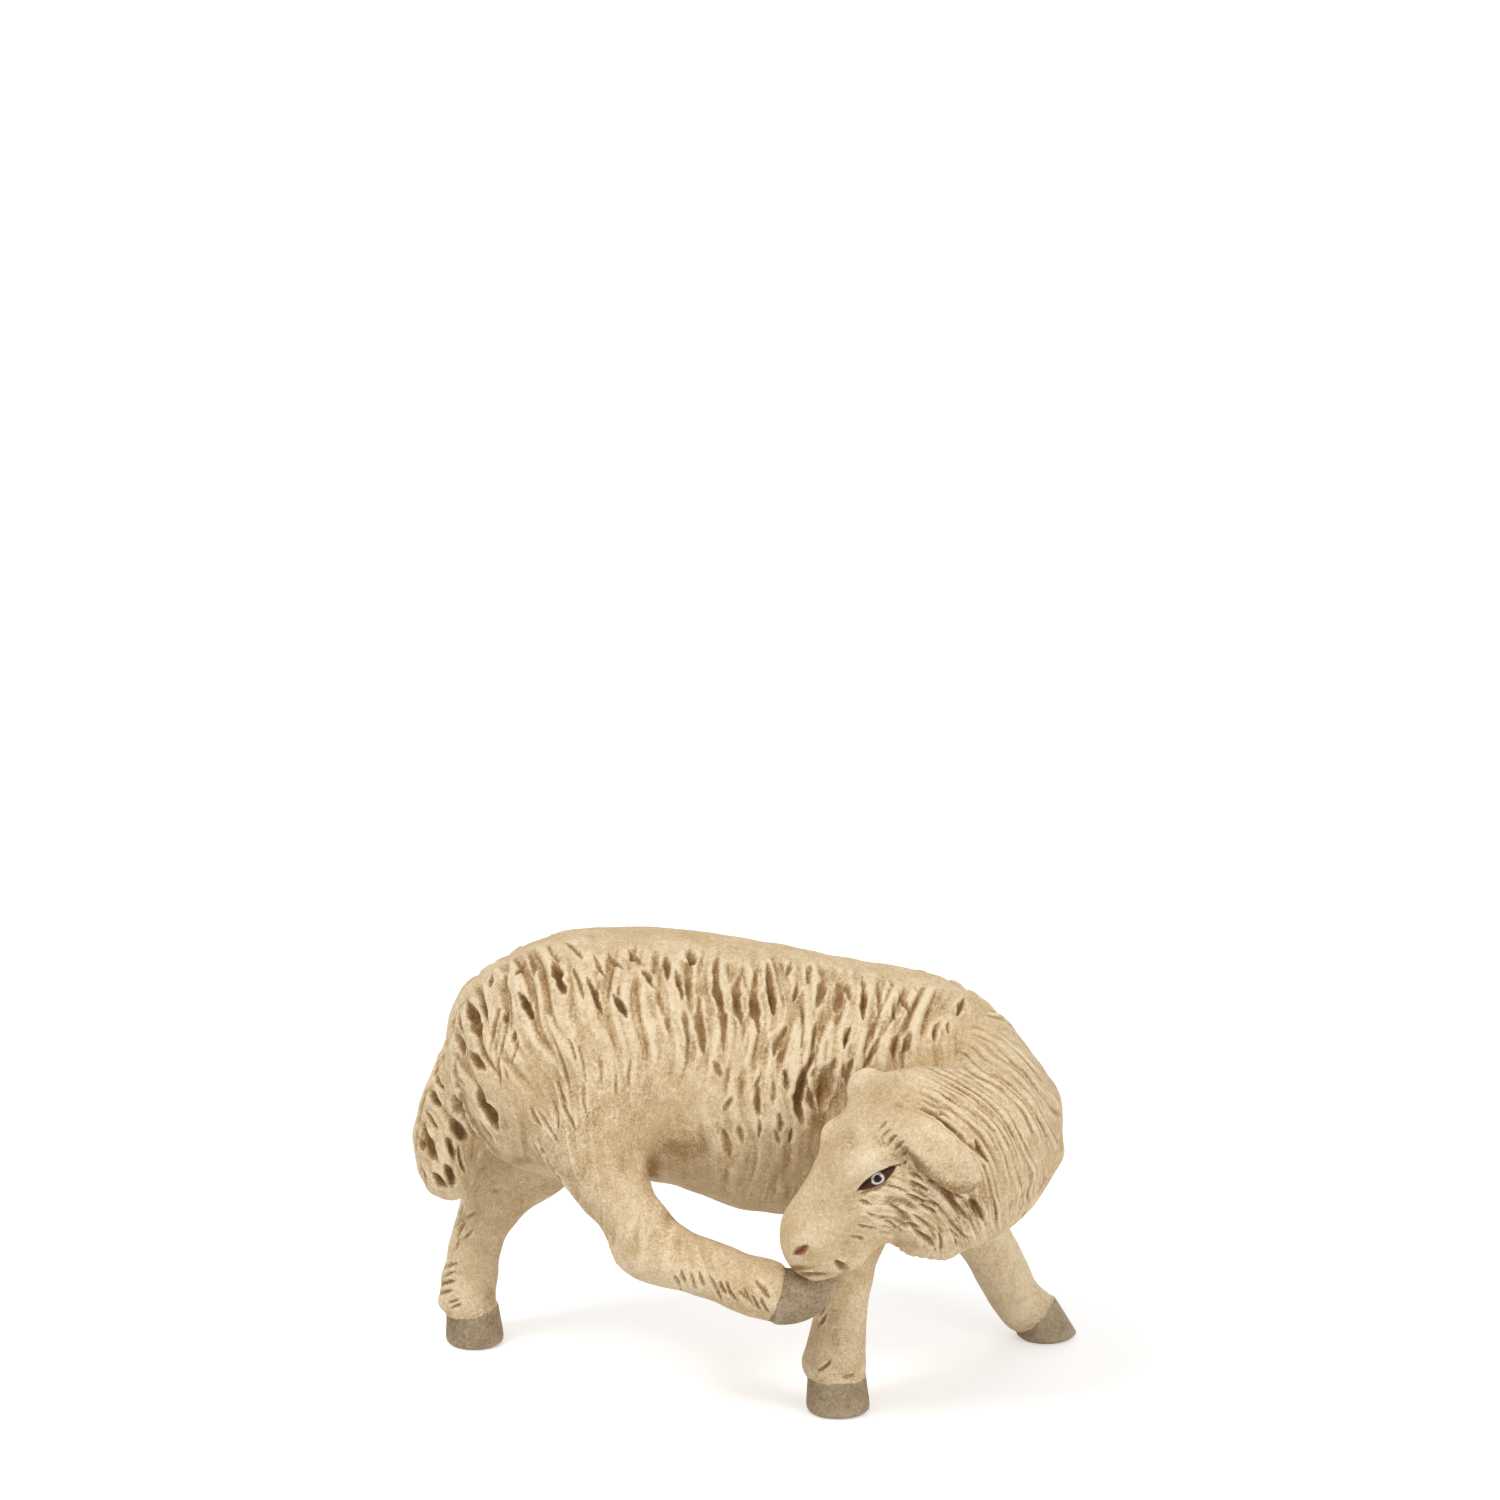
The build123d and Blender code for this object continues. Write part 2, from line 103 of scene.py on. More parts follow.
# %% [markdown]
# ## One skin over all the pieces
# The real figure is painted over its joints, so no seam shows. Copies of the
# CAD pieces are joined and remeshed with small voxels, which welds them as wet
# clay does. The wires are in it too, so that they fill their bores.

# %% Join copies of the nodes
HOOVES = ("fore_left_hoof", "fore_right_hoof", "hind_left_hoof", "hind_right_hoof")
LEGS = ("fore_left_leg", "fore_right_leg", "hind_left_leg", "hind_right_leg")
SKIN_NODES = ("trunk_left_shell", "trunk_right_shell", "neck", "head", "left_ear", "right_ear",
              "tail") + LEGS + HOOVES
WIRES = ("neck_wire", "fore_left_wire", "fore_right_wire", "hind_left_wire", "hind_right_wire")
VOXEL = 0.42 * MM


def pick(*objects):
    """Select these objects alone, the last one active."""
    bpy.ops.object.select_all(action="DESELECT")
    for thing in objects:
        thing.select_set(True)
        bpy.context.view_layer.objects.active = thing


copies = []
for name in SKIN_NODES + WIRES:
    copy = bpy.data.objects.new("skin_" + name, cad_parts[name].data.copy())
    bpy.context.collection.objects.link(copy)
    copies.append(copy)
pick(*copies)
bpy.ops.object.join()
skin = bpy.context.object
skin.name = "skin"
bpy.ops.object.mode_set(mode="EDIT")
bpy.ops.mesh.select_all(action="SELECT")
bpy.ops.mesh.remove_doubles(threshold=0.001 * MM)
bpy.ops.object.mode_set(mode="OBJECT")
remesh = skin.modifiers.new("weld", "REMESH")
remesh.mode = "VOXEL"
remesh.voxel_size = VOXEL
bpy.ops.object.modifier_apply(modifier="weld")
print("welded skin", len(skin.data.polygons), "faces")

# %% Keep the outside alone
bpy.ops.object.mode_set(mode="EDIT")
bpy.ops.mesh.select_all(action="SELECT")
bpy.ops.mesh.separate(type="LOOSE")
bpy.ops.object.mode_set(mode="OBJECT")
shells = sorted(bpy.context.selected_objects, key=lambda shell: len(shell.data.polygons))
skin = shells.pop()
for shell in shells:
    bpy.data.objects.remove(shell)
pick(skin)
skin.data.materials.clear()
print("outside", len(skin.data.polygons), "faces;", len(shells), "inner shells left out")

# %% [markdown]
# ## Which piece a place belongs to
# Each place on the skin takes the name of the nearest CAD piece. Near a border
# between two pieces the skin is smoothed, so thighs and neck grow out of the
# body. The hooves keep their hard edge.

# %% Reading a mesh into arrays


def places(mesh):
    flat = np.empty(len(mesh.vertices) * 3)
    mesh.vertices.foreach_get("co", flat)
    return flat.reshape(-1, 3)


def outward(mesh):
    flat = np.empty(len(mesh.vertices) * 3)
    mesh.vertex_normals.foreach_get("vector", flat)
    return flat.reshape(-1, 3)


def edge_ends(mesh):
    flat = np.empty(len(mesh.edges) * 2, np.int32)
    mesh.edges.foreach_get("vertices", flat)
    return flat.reshape(-1, 2)


def face_middles(mesh):
    flat = np.empty(len(mesh.polygons) * 3)
    mesh.polygons.foreach_get("center", flat)
    return flat.reshape(-1, 3)


def spread(values, ends, rounds):
    """Let values flow along the edges, half way to the neighbours' mean each round."""
    first, second = ends.T
    count = len(values)
    neighbours = np.bincount(first, minlength=count) + np.bincount(second, minlength=count)
    for _ in range(rounds):
        total = np.bincount(first, values[second], count) + np.bincount(second, values[first], count)
        values = 0.5 * values + 0.5 * total / neighbours
    return values


def moved(mesh, points):
    mesh.vertices.foreach_set("co", points.ravel())
    mesh.update()


# %% Nearest piece
corner_lists, face_lists, face_names, start = [], [], [], 0
for number, name in enumerate(SKIN_NODES):
    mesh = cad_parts[name].data
    corners = places(mesh)
    mesh.calc_loop_triangles()
    flat = np.empty(len(mesh.loop_triangles) * 3, np.int32)
    mesh.loop_triangles.foreach_get("vertices", flat)
    corner_lists.append(corners)
    face_lists.append(flat.reshape(-1, 3) + start)
    face_names.append(np.full(len(flat) // 3, number))
    start += len(corners)
cad_tree = BVHTree.FromPolygons(np.vstack(corner_lists).tolist(), np.vstack(face_lists).tolist())
face_names = np.concatenate(face_names)


def nearest_piece(points):
    return face_names[[cad_tree.find_nearest(point)[2] for point in points.tolist()]]


def numbers(*names):
    return [SKIN_NODES.index(name) for name in names]


# %% Soften the joints
JOINT_ROUNDS = 24
SOFTENING_ROUNDS = 110
EVERYWHERE = 0.05
ON_TRUNK = 0.16
ON_HOOVES = 0.02
SOFT_PLACES = (((893, 1110), 24, 17), ((890, 1090), 28, 15), ((1004, 1018), 24, 24), ((970, 992), 30, 20))
owner = nearest_piece(places(skin.data))
is_hoof = np.isin(owner, numbers(*HOOVES))
for leg, hoof in zip(numbers(*LEGS), numbers(*HOOVES)):
    owner[owner == hoof] = leg
owner[owner == 1] = 0
ends = edge_ends(skin.data)
surest = np.zeros(len(owner))
for number in set(owner.tolist()):
    surest = np.maximum(surest, spread((owner == number).astype(float), ends, JOINT_ROUNDS))
joint = np.clip((1 - surest) * 2.4, 0, 1)
low, high = (np.array(corner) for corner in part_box("hind_right_hoof"))
near_hoof = np.all((places(skin.data) > low - 1 * MM) & (places(skin.data) < high + 1 * MM), axis=1)
joint[near_hoof] = 0
soft = skin.vertex_groups.new(name="joints")
joint = np.maximum(joint, np.where(owner == 0, ON_TRUNK, EVERYWHERE))
joint[is_hoof] = ON_HOOVES
across, down = photo_pixels(places(skin.data))
for (soft_across, soft_down), wide, tall in SOFT_PLACES:
    soft_share = 1.5 * np.exp(-((across - soft_across) / wide) ** 2 - ((down - soft_down) / tall) ** 2)
    joint = np.maximum(joint, np.minimum(soft_share, 1))
for index, weight in enumerate(joint.tolist()):
    soft.add((index,), weight, "REPLACE")
smooth = skin.modifiers.new("soften joints", "SMOOTH")
smooth.vertex_group = "joints"
smooth.factor = 0.5
smooth.iterations = SOFTENING_ROUNDS
bpy.ops.object.modifier_apply(modifier="soften joints")
finer = skin.modifiers.new("finer", "SUBSURF")
finer.levels = finer.render_levels = 1
bpy.ops.object.modifier_apply(modifier="finer")
print("softened", int((joint > 0.3).sum()), "places; now", len(skin.data.polygons), "faces")

# %% [markdown]
# ## Cut lines
# The hooves end at a crisp edge on a plane, and the trunk is two halves. The
# skin is cut along those planes now, while it is still smooth, so that its
# edges run there.

# %% Bisect at the hooves and along the spine
CORONETS = {
    "fore_left": ((30.917, 16.392, 2.560), (1.593, 0.0375, -1.715)),
    "fore_right": ((9.205, -4.796, 4.000), (0.0, -0.125, -3.348)),
    "hind_left": ((-29.617, 14.704, 3.800), (0.413, 0.0, -2.012)),
    "hind_right": ((3.076, -10.498, 14.970), (2.106, 0.0, -0.378)),
}
MID_PLANE = 6.704 * MM


def cut(plane_point, plane_normal, near):
    chosen = near(face_middles(skin.data))
    bpy.context.tool_settings.mesh_select_mode = (False, False, True)
    skin.data.polygons.foreach_set("select", chosen)
    bpy.ops.object.mode_set(mode="EDIT")
    bpy.ops.mesh.bisect(plane_co=plane_point, plane_no=plane_normal, threshold=0.02 * MM)
    bpy.ops.object.mode_set(mode="OBJECT")


bpy.ops.object.mode_set(mode="EDIT")
bpy.ops.mesh.select_all(action="DESELECT")
bpy.ops.object.mode_set(mode="OBJECT")
HOOF_REACH = 8 * MM
for point, facing in CORONETS.values():
    place = np.array(point) * MM
    cut(place, facing, lambda middles, place=place: np.linalg.norm(middles - place, axis=1) < HOOF_REACH)
cut((0, MID_PLANE, 0), (0, 1, 0), lambda middles: np.ones(len(middles), bool))
print("after the cuts", len(skin.data.polygons), "faces")

piece_of_face = nearest_piece(face_middles(skin.data))
middles = face_middles(skin.data)
on_trunk = (piece_of_face == 0) | (piece_of_face == 1)
piece_of_face[on_trunk] = np.where(middles[on_trunk, 1] > MID_PLANE, 0, 1)
for limb, (point, facing) in CORONETS.items():
    leg, hoof = numbers(limb + "_leg", limb + "_hoof")
    on_limb = (piece_of_face == leg) | (piece_of_face == hoof)
    beyond = (middles - np.array(point) * MM) @ np.array(facing) > 0
    piece_of_face[on_limb] = np.where(beyond[on_limb], hoof, leg)
print("faces per piece", {name: int((piece_of_face == number).sum()) for number, name in enumerate(SKIN_NODES)})

# %% [markdown]
# ## Carving tools
# Two tools shape the wool. A comb presses many soft strands at once, from
# smooth chance values that are stretched along the strands. A small gouge makes
# single cuts: lenses with pointed ends, a soft bottom and a low lip. A cut is
# given by the pixels it runs through, and by its width and depth. The hidden
# left side gets the same cuts, mirrored.

# %% Arrays to carve in
points = places(skin.data)
facing_out = outward(skin.data)
ends = edge_ends(skin.data)
count = len(points)
vertex_piece = nearest_piece(points)
carved = np.zeros(count)
wash = np.zeros(count)


def is_on(*names):
    return np.isin(vertex_piece, numbers(*names))


def squarely(place, direction):
    """How squarely places with these outward directions face the camera, up to 1."""
    toward = eye_place - place
    return np.einsum("ij,ij->i", direction, toward / np.linalg.norm(toward, axis=1, keepdims=True))


MIRROR = np.array((1.0, -1.0, 1.0))
other_side = points * MIRROR + (0, 2 * MID_PLANE, 0)
direct = photo_pixels(points)
mirrored = photo_pixels(other_side)
right_side = points[:, 1] < MID_PLANE
across = np.where(right_side, direct[0], mirrored[0])
down = np.where(right_side, direct[1], mirrored[1])
front = squarely(points, facing_out) > 0.02
in_view = np.where(right_side, squarely(points, facing_out), squarely(other_side, facing_out * MIRROR))
print(count, "places to carve,", int(front.sum()), "of them in front")


# %% Soft values
def rise(value, low, high):
    """0 below low, 1 above high, smooth between."""
    share = np.clip((value - low) / (high - low), 0, 1)
    return share * share * (3 - 2 * share)


def streaks(across, along, seed):
    """Smooth chance values from -1 to 1 on a grid of unit steps."""
    grid = np.random.default_rng(seed).uniform(-1, 1, (97, 97))
    column, row = np.floor(across).astype(int), np.floor(along).astype(int)
    x, y = across - column, along - row
    x, y = x * x * (3 - 2 * x), y * y * (3 - 2 * y)
    left, right = column % 97, (column + 1) % 97
    low, high = row % 97, (row + 1) % 97
    return (grid[left, low] * (1 - x) + grid[right, low] * x) * (1 - y) \
        + (grid[left, high] * (1 - x) + grid[right, high] * x) * y


def wander(place, length, seed):
    """A smooth value between about -1 and 1 that changes over this length."""
    waves = np.random.default_rng(seed)
    total = np.zeros(len(place))
    for _ in range(7):
        direction = waves.normal(size=3)
        direction /= np.linalg.norm(direction)
        total += np.sin(place @ direction * 2 * math.pi / (length * waves.uniform(0.7, 1.5)) + waves.uniform(0, 6.3))
    return total / 3.2


tremble = wander(points, 1.7 * MM, 5)
spine_edge = facing_out[:, 2] + 0.035 * wander(points, 4 * MM, 6) + np.where(right_side, 0, 0.07)
in_view = rise(in_view, 0.24, 0.58) * (1 - rise(spine_edge, 0.88, 0.985)) * rise(np.abs(points[:, 1] - MID_PLANE), 0, 1.4 * MM)
print("tremble from", round(tremble.min(), 2), "to", round(tremble.max(), 2))


# %% The comb
def comb(value, mask, depth, stain):
    """Press strands where the chance value is low and leave ridges where it is high. Depth in millimetres."""
    furrow = rise(-value, 0.02, 0.46) * mask
    ridge = rise(value, 0.05, 0.50) * mask
    carved[:] += (0.5 * ridge - furrow) * depth * MM
    wash[:] = np.maximum(wash, furrow * stain)


# %% The gouge
LIP_SHARE = 0.22
DEPTH_SHARE = 0.85
FINEST_CUT = 4.2


def bowed(route):
    """Give a straight route a slight bow, and round the corners of a bent one."""
    route = np.asarray(route, float)
    if len(route) == 2:
        step = route[1] - route[0]
        bow = 0.09 * math.sin(route[0].sum())
        route = np.array((route[0], route.mean(axis=0) + bow * np.array((-step[1], step[0])), route[1]))
    for _ in range(2):
        pairs = np.stack((0.75 * route[:-1] + 0.25 * route[1:], 0.25 * route[:-1] + 0.75 * route[1:]), 1)
        route = np.vstack((route[:1], pairs.reshape(-1, 2)[1:-1], route[-1:]))
    return route


def gouge(route, width, depth, where, pixels, stain=1.0):
    """Cut one lens along a route of pixels. Width in pixels, depth in millimetres."""
    across, down = pixels
    route = bowed(route)
    width = max(width, FINEST_CUT)
    short = max(0.0, 3.2 * width / np.linalg.norm(route[-1] - route[0]) - 1)
    route = route + (route - route.mean(axis=0)) * short
    reach = 2.4 * width
    box = where & (across > route[:, 0].min() - reach) & (across < route[:, 0].max() + reach) \
        & (down > route[:, 1].min() - reach) & (down < route[:, 1].max() + reach)
    here = np.flatnonzero(box)
    if not len(here):
        return
    spot = np.column_stack((across[here], down[here]))
    steps = np.diff(route, axis=0)
    lengths = np.linalg.norm(steps, axis=1)
    passed = np.concatenate(([0], np.cumsum(lengths)))
    best = np.full(len(here), 1e9)
    along = np.zeros(len(here))
    for number, (begin, step, length) in enumerate(zip(route[:-1], steps, lengths)):
        share = np.clip((spot - begin) @ step / length ** 2, 0, 1)
        away = np.linalg.norm(spot - begin - share[:, None] * step, axis=1)
        nearer = away < best
        best[nearer] = away[nearer]
        along[nearer] = (passed[number] + share[nearer] * length) / passed[-1]
    taper = np.sqrt(np.clip(1 - (2 * along - 1) ** 2, 0.04, 1))
    away = best / (width / 2 * taper * (1 + 0.28 * tremble[here]))
    inside = np.clip(1 - (away / 1.2) ** 2, 0, 1) ** 1.6
    lip = np.exp(-((away - 1.55) / 0.5) ** 2)
    facing = in_view[here] * taper
    carved[here] += DEPTH_SHARE * depth * MM * facing * (LIP_SHARE * lip - inside)
    # The stain grows darker towards the route's last point.
    stained = np.exp(-0.7 * away ** 2) * min(1.0, 0.35 + 0.7 * depth) * stain * facing * (0.75 + 0.4 * along)
    wash[here] = np.maximum(wash[here], stained)


# %% [markdown]
# ## Wool on the flank, the rump and the tail
# On the flank the strands hang down in short waves that start under a smooth
# spine. On the rump and tail they lean back. The haunch of the raised leg has
# only fine straight scratches. The comb lays all strands first. Then single
# cuts follow, each list read off an enlarged view: a view's corner pixel
# and its enlargement come first, then route, width and depth of each cut in
# that view's pixels.

# %% Strands of wool
body = spread(is_on("trunk_left_shell", "trunk_right_shell", "tail", *LEGS).astype(float), ends, 4)
high_up = rise(points[:, 2], 15 * MM, 20 * MM) * body
on_rump = 1 - rise(across, 545, 640)
on_shoulder = rise(across, 820, 900)


def oval_place(middle_across, middle_down, wide, tall):
    return np.exp(-((across - middle_across) / wide) ** 2 - ((down - middle_down) / tall) ** 2)


haunch = np.clip(1.5 * oval_place(580, 1130, 75, 95), 0, 1)
plain = np.maximum(haunch, 0.9 * oval_place(688, 1092, 40, 32))
woolly = high_up * in_view * (1 - 0.85 * plain) * (1 - 0.6 * rise(down, 1045, 1110))
woolly = woolly * (1 - 0.85 * right_side * rise(across, 925, 965))
strand_across = across - (0.42 * on_rump - 0.25 * on_shoulder) * (down - 1000) + 6 * np.sin(down / 21 + across / 60)
comb(streaks(strand_across / 9, down / 50, 21), woolly * (1 + 0.35 * on_rump), 0.36, 0.34)
comb(streaks(strand_across / 4.8, down / 30, 22), woolly, 0.12, 0.30)
comb(streaks(strand_across / 5.5, down / 60, 24), high_up * haunch * on_rump * in_view, 0.10, 0.15)
rear = rise(-facing_out[:, 0], 0.35, 0.70) * high_up * (1 - in_view)
comb(streaks((points[:, 1] / MM + 0.5 * tremble) / 1.0, points[:, 2] / (5 * MM), 31), rear, 0.30, 0.42)
print("strands reach", round(float(-carved.min() / MM), 2), "mm deep")

# %% Cuts on the rump and tail
RUMP_VIEW = (400, 915, 5.227)
RUMP_CUTS = (
    (((480, 300), (470, 380)), 22, 0.4), (((560, 300), (530, 400)), 30, 0.4),
    (((425, 390), (465, 560)), 30, 0.7), (((360, 450), (400, 560), (430, 660)), 50, 0.8),
    (((315, 500), (330, 610)), 26, 0.6), (((268, 600), (325, 740)), 32, 0.7),
    (((370, 720), (440, 800)), 46, 0.6), (((232, 710), (238, 770)), 20, 0.6),
    (((800, 240), (825, 330), (865, 420)), 52, 0.9), (((670, 200), (700, 320)), 36, 0.4),
    (((780, 140), (795, 220)), 20, 0.5), (((860, 140), (900, 170), (960, 240)), 26, 0.4),
    (((620, 400), (660, 480), (690, 550)), 38, 0.9), (((980, 330), (1010, 410), (1060, 520)), 30, 0.7),
    (((1110, 410), (1190, 545)), 38, 0.7), (((900, 270), (960, 450)), 24, 0.4),
    (((1010, 210), (1080, 330)), 24, 0.4), (((1180, 160), (1260, 270), (1340, 390)), 32, 0.45),
    (((1060, 150), (1170, 290)), 24, 0.45), (((1380, 210), (1400, 330)), 38, 0.5),
    (((1500, 190), (1520, 220)), 42, 0.8), (((1440, 320), (1480, 460)), 30, 0.5),
    (((550, 500), (550, 570)), 20, 0.6), (((600, 600), (595, 670)), 18, 0.5),
    (((640, 230), (600, 330)), 16, 0.4), (((400, 890), (450, 1020), (520, 1140)), 46, 0.8),
    (((460, 1000), (500, 1060)), 38, 0.6), (((150, 910), (210, 1010)), 30, 0.9),
    (((190, 830), (230, 920)), 26, 0.6), (((270, 940), (310, 1010), (350, 1090)), 52, 0.8),
    (((110, 1080), (140, 1190), (195, 1290)), 48, 0.9), (((270, 1080), (340, 1180)), 50, 0.7),
    (((240, 1160), (290, 1290)), 38, 0.7), (((400, 1070), (490, 1220)), 46, 0.9),
    (((330, 1060), (400, 1190)), 28, 0.5), (((130, 1020), (200, 1120)), 26, 0.5),
    (((80, 1150), (130, 1240)), 22, 0.5), (((240, 1320), (270, 1400)), 42, 0.8),
    (((170, 1350), (240, 1425)), 36, 0.7), (((100, 1300), (140, 1400)), 20, 0.5),
    (((310, 1200), (350, 1360)), 26, 0.5), (((290, 850), (330, 890)), 26, 0.4),
)
HAUNCH_SCRATCHES = (
    (((790, 600), (850, 780), (900, 950)), 12, 0.28), (((880, 640), (920, 780)), 18, 0.3),
    (((820, 860), (880, 1000)), 11, 0.28), (((800, 960), (830, 1130)), 20, 0.32),
    (((840, 900), (910, 1110)), 12, 0.3), (((960, 880), (990, 1080)), 11, 0.25),
    (((930, 690), (970, 880)), 11, 0.25), (((1035, 720), (1050, 890)), 10, 0.22),
    (((1130, 830), (1130, 950)), 10, 0.22), (((720, 1010), (830, 1190)), 14, 0.3),
    (((680, 990), (760, 1110)), 13, 0.28), (((520, 470), (480, 760)), 14, 0.32),
    (((560, 470), (500, 820)), 13, 0.3), (((500, 640), (530, 900)), 13, 0.28),
    (((540, 780), (570, 860)), 12, 0.25), (((620, 640), (580, 780)), 12, 0.25),
    (((860, 1000), (920, 1140)), 12, 0.28), (((1210, 760), (1200, 900)), 9, 0.2),
)


def carve_view(view, cuts, where, pixels, stain=1.0):
    """Cut a list of lenses, given in the pixels of an enlarged view."""
    left, top, enlarged = view
    for route, width, depth in cuts:
        gouge([(left + across / enlarged, top + down / enlarged) for across, down in route],
              width / enlarged, depth, where, pixels, stain)


woolly_body = high_up > 0.5
for where, pixels in ((right_side & woolly_body, direct), (~right_side & woolly_body, mirrored)):
    carve_view(RUMP_VIEW, RUMP_CUTS, where, pixels, 1.25)
    carve_view(RUMP_VIEW, HAUNCH_SCRATCHES, where, pixels, 0.25)
print(len(RUMP_CUTS), "cuts and", len(HAUNCH_SCRATCHES), "scratches on each side of the rump")

# %% Cuts on the flank
FLANK_VIEW = (640, 915, 4.356)
FLANK_CUTS = (
    (((110, 170), (120, 290)), 26, 0.5), (((215, 150), (220, 190)), 32, 0.7),
    (((270, 90), (290, 130)), 24, 0.4), (((25, 230), (55, 310)), 20, 0.5),
    (((150, 240), (165, 310)), 28, 0.4), (((210, 270), (215, 360)), 34, 0.45),
    (((350, 120), (320, 300), (370, 450), (365, 590)), 36, 0.85), (((190, 400), (215, 560)), 32, 0.5),
    (((260, 350), (255, 470), (280, 610)), 36, 0.65), (((435, 250), (415, 350), (445, 465)), 38, 0.75),
    (((505, 235), (495, 360), (520, 520)), 38, 0.75), (((555, 200), (570, 330), (585, 440)), 34, 0.85),
    (((660, 200), (640, 260)), 24, 0.5), (((740, 235), (735, 280)), 30, 0.5),
    (((685, 280), (668, 370)), 20, 0.6), (((705, 380), (715, 470), (700, 590)), 16, 0.55),
    (((800, 280), (770, 400)), 42, 0.6), (((870, 260), (855, 420)), 42, 0.6),
    (((905, 290), (915, 370)), 28, 0.6), (((965, 270), (970, 460)), 32, 0.75),
    (((1035, 290), (1040, 450)), 24, 0.5), (((1110, 360), (1115, 460)), 16, 0.5),
    (((1120, 330), (1190, 440)), 18, 0.45), (((1085, 275), (1095, 295)), 22, 0.5),
    (((1170, 290), (1200, 325)), 22, 0.5), (((1410, 370), (1390, 420)), 28, 0.7),
    (((1300, 470), (1285, 540)), 30, 0.7), (((1345, 460), (1345, 520)), 18, 0.5),
    (((640, 480), (580, 620)), 42, 0.75), (((770, 460), (750, 590)), 22, 0.6),
    (((910, 510), (895, 560)), 32, 0.9), (((1040, 530), (970, 670)), 28, 0.6),
    (((1120, 540), (1110, 600)), 36, 0.75), (((1170, 530), (1160, 570)), 32, 0.75),
    (((760, 600), (700, 720), (685, 830), (710, 915)), 44, 1.1), (((730, 740), (770, 860)), 30, 0.7),
    (((840, 660), (790, 820)), 74, 0.8), (((930, 620), (900, 740)), 32, 0.6),
    (((890, 640), (885, 720)), 16, 0.5), (((630, 690), (640, 750)), 30, 0.6),
    (((515, 740), (520, 880)), 28, 0.6), (((580, 720), (580, 830)), 22, 0.4),
    (((605, 880), (610, 930)), 28, 0.7), (((590, 930), (610, 1000)), 24, 0.45),
    (((660, 930), (645, 1000)), 14, 0.6), (((520, 880), (515, 970)), 18, 0.4),
    (((400, 790), (370, 850)), 26, 0.35), (((360, 930), (390, 1060)), 42, 0.45),
    (((320, 640), (350, 700)), 28, 0.35), (((430, 900), (450, 1000)), 28, 0.35),
    (((120, 450), (125, 500)), 22, 0.35), (((530, 690), (500, 760)), 20, 0.35),
)
SHOULDER_VIEW = (900, 990, 4.356)
SHOULDER_CUTS = (
    (((40, 100), (20, 260)), 34, 0.6), (((130, 150), (120, 300)), 36, 0.7),
    (((230, 160), (215, 330)), 32, 0.6), (((330, 200), (300, 380)), 34, 0.6),
    (((60, 330), (40, 470)), 30, 0.6),
    (((150, 360), (130, 520)), 36, 0.7), (((260, 400), (230, 560)), 34, 0.6),
    (((100, 560), (80, 690)), 28, 0.5),
    (((190, 590), (180, 740)), 30, 0.5), (((-40, 420), (-60, 560)), 32, 0.6),
    (((-120, 480), (-140, 640)), 30, 0.6), (((-30, 620), (-40, 760)), 28, 0.5),
)
flank = is_on("trunk_left_shell", "trunk_right_shell", "hind_right_leg", "hind_left_leg")
shoulder = is_on("trunk_left_shell", "trunk_right_shell", "fore_left_leg", "neck")
carve_view(FLANK_VIEW, FLANK_CUTS, right_side & flank, direct, 0.85)
left_cuts = [cut for cut in FLANK_CUTS if cut[1] < 40 and cut[0][0][0] < 1000]
carve_view(FLANK_VIEW, left_cuts, ~right_side & flank, mirrored, 0.85)
carve_view(SHOULDER_VIEW, SHOULDER_CUTS, ~right_side & shoulder, mirrored, 0.85)
print(len(FLANK_CUTS), "cuts on the right flank,", len(left_cuts), "on the left and", len(SHOULDER_CUTS), "on its shoulder")

# %% [markdown]
# ## The ruffled neck
# The neck turns half a circle. On the side that is seen, its wool flows in
# fine arcs from the crown over the bend and down to the throat, all round one
# centre on the cheek. On the hidden side it lies in folds across the bend, like
# a sleeve pushed up. The folds are planes through the axis of the bend. A
# little sideways wandering keeps both from looking ruled.

# %% Folds of the neck
BEND_MIDDLE = np.array((16.403, -2.296)) * MM
FOLD_RADIUS = 12 * MM
FOLD_LENGTH = 4 * MM
from_bend = points[:, :2] - BEND_MIDDLE
turn = np.arctan2(from_bend[:, 0], from_bend[:, 1]) + (points[:, 2] - 30 * MM) / MM * math.radians(0.6)
on_neck = spread(is_on("neck").astype(float), ends, 36) * rise(np.linalg.norm(from_bend, axis=1), 4 * MM, 8 * MM)
CHEEK_OVALS = (((922, 1210), 54, 34), ((955, 1236), 36, 24))
cheek = np.zeros(count)
for (oval_across, oval_down), wide, tall in CHEEK_OVALS:
    cheek = np.maximum(cheek, np.exp(-((direct[0] - oval_across) / wide) ** 2 - ((direct[1] - oval_down) / tall) ** 2))
cheek = np.clip(1.7 * cheek, 0, 1) * front * spread(is_on("head", "neck").astype(float), ends, 2)
on_neck = on_neck * (1 - cheek)
fold_across = turn * FOLD_RADIUS + 0.30 * MM * wander(points, 9 * MM, 3)
seen = rise(squarely(points, facing_out), 0.02, 0.25)
ARC_CENTRE = (878, 1221)
ARC_LENGTH = 38
PIXELS_PER_MM = PIXELS_PER_METRE * MM
from_centre = direct[0] - ARC_CENTRE[0], ARC_CENTRE[1] - direct[1]
arc_along, arc = np.arctan2(*from_centre) * 150, np.hypot(*from_centre) + 3 * wander(points, 9 * MM, 3)
on_arcs = on_neck * seen * rise(direct[0], 905, 938)


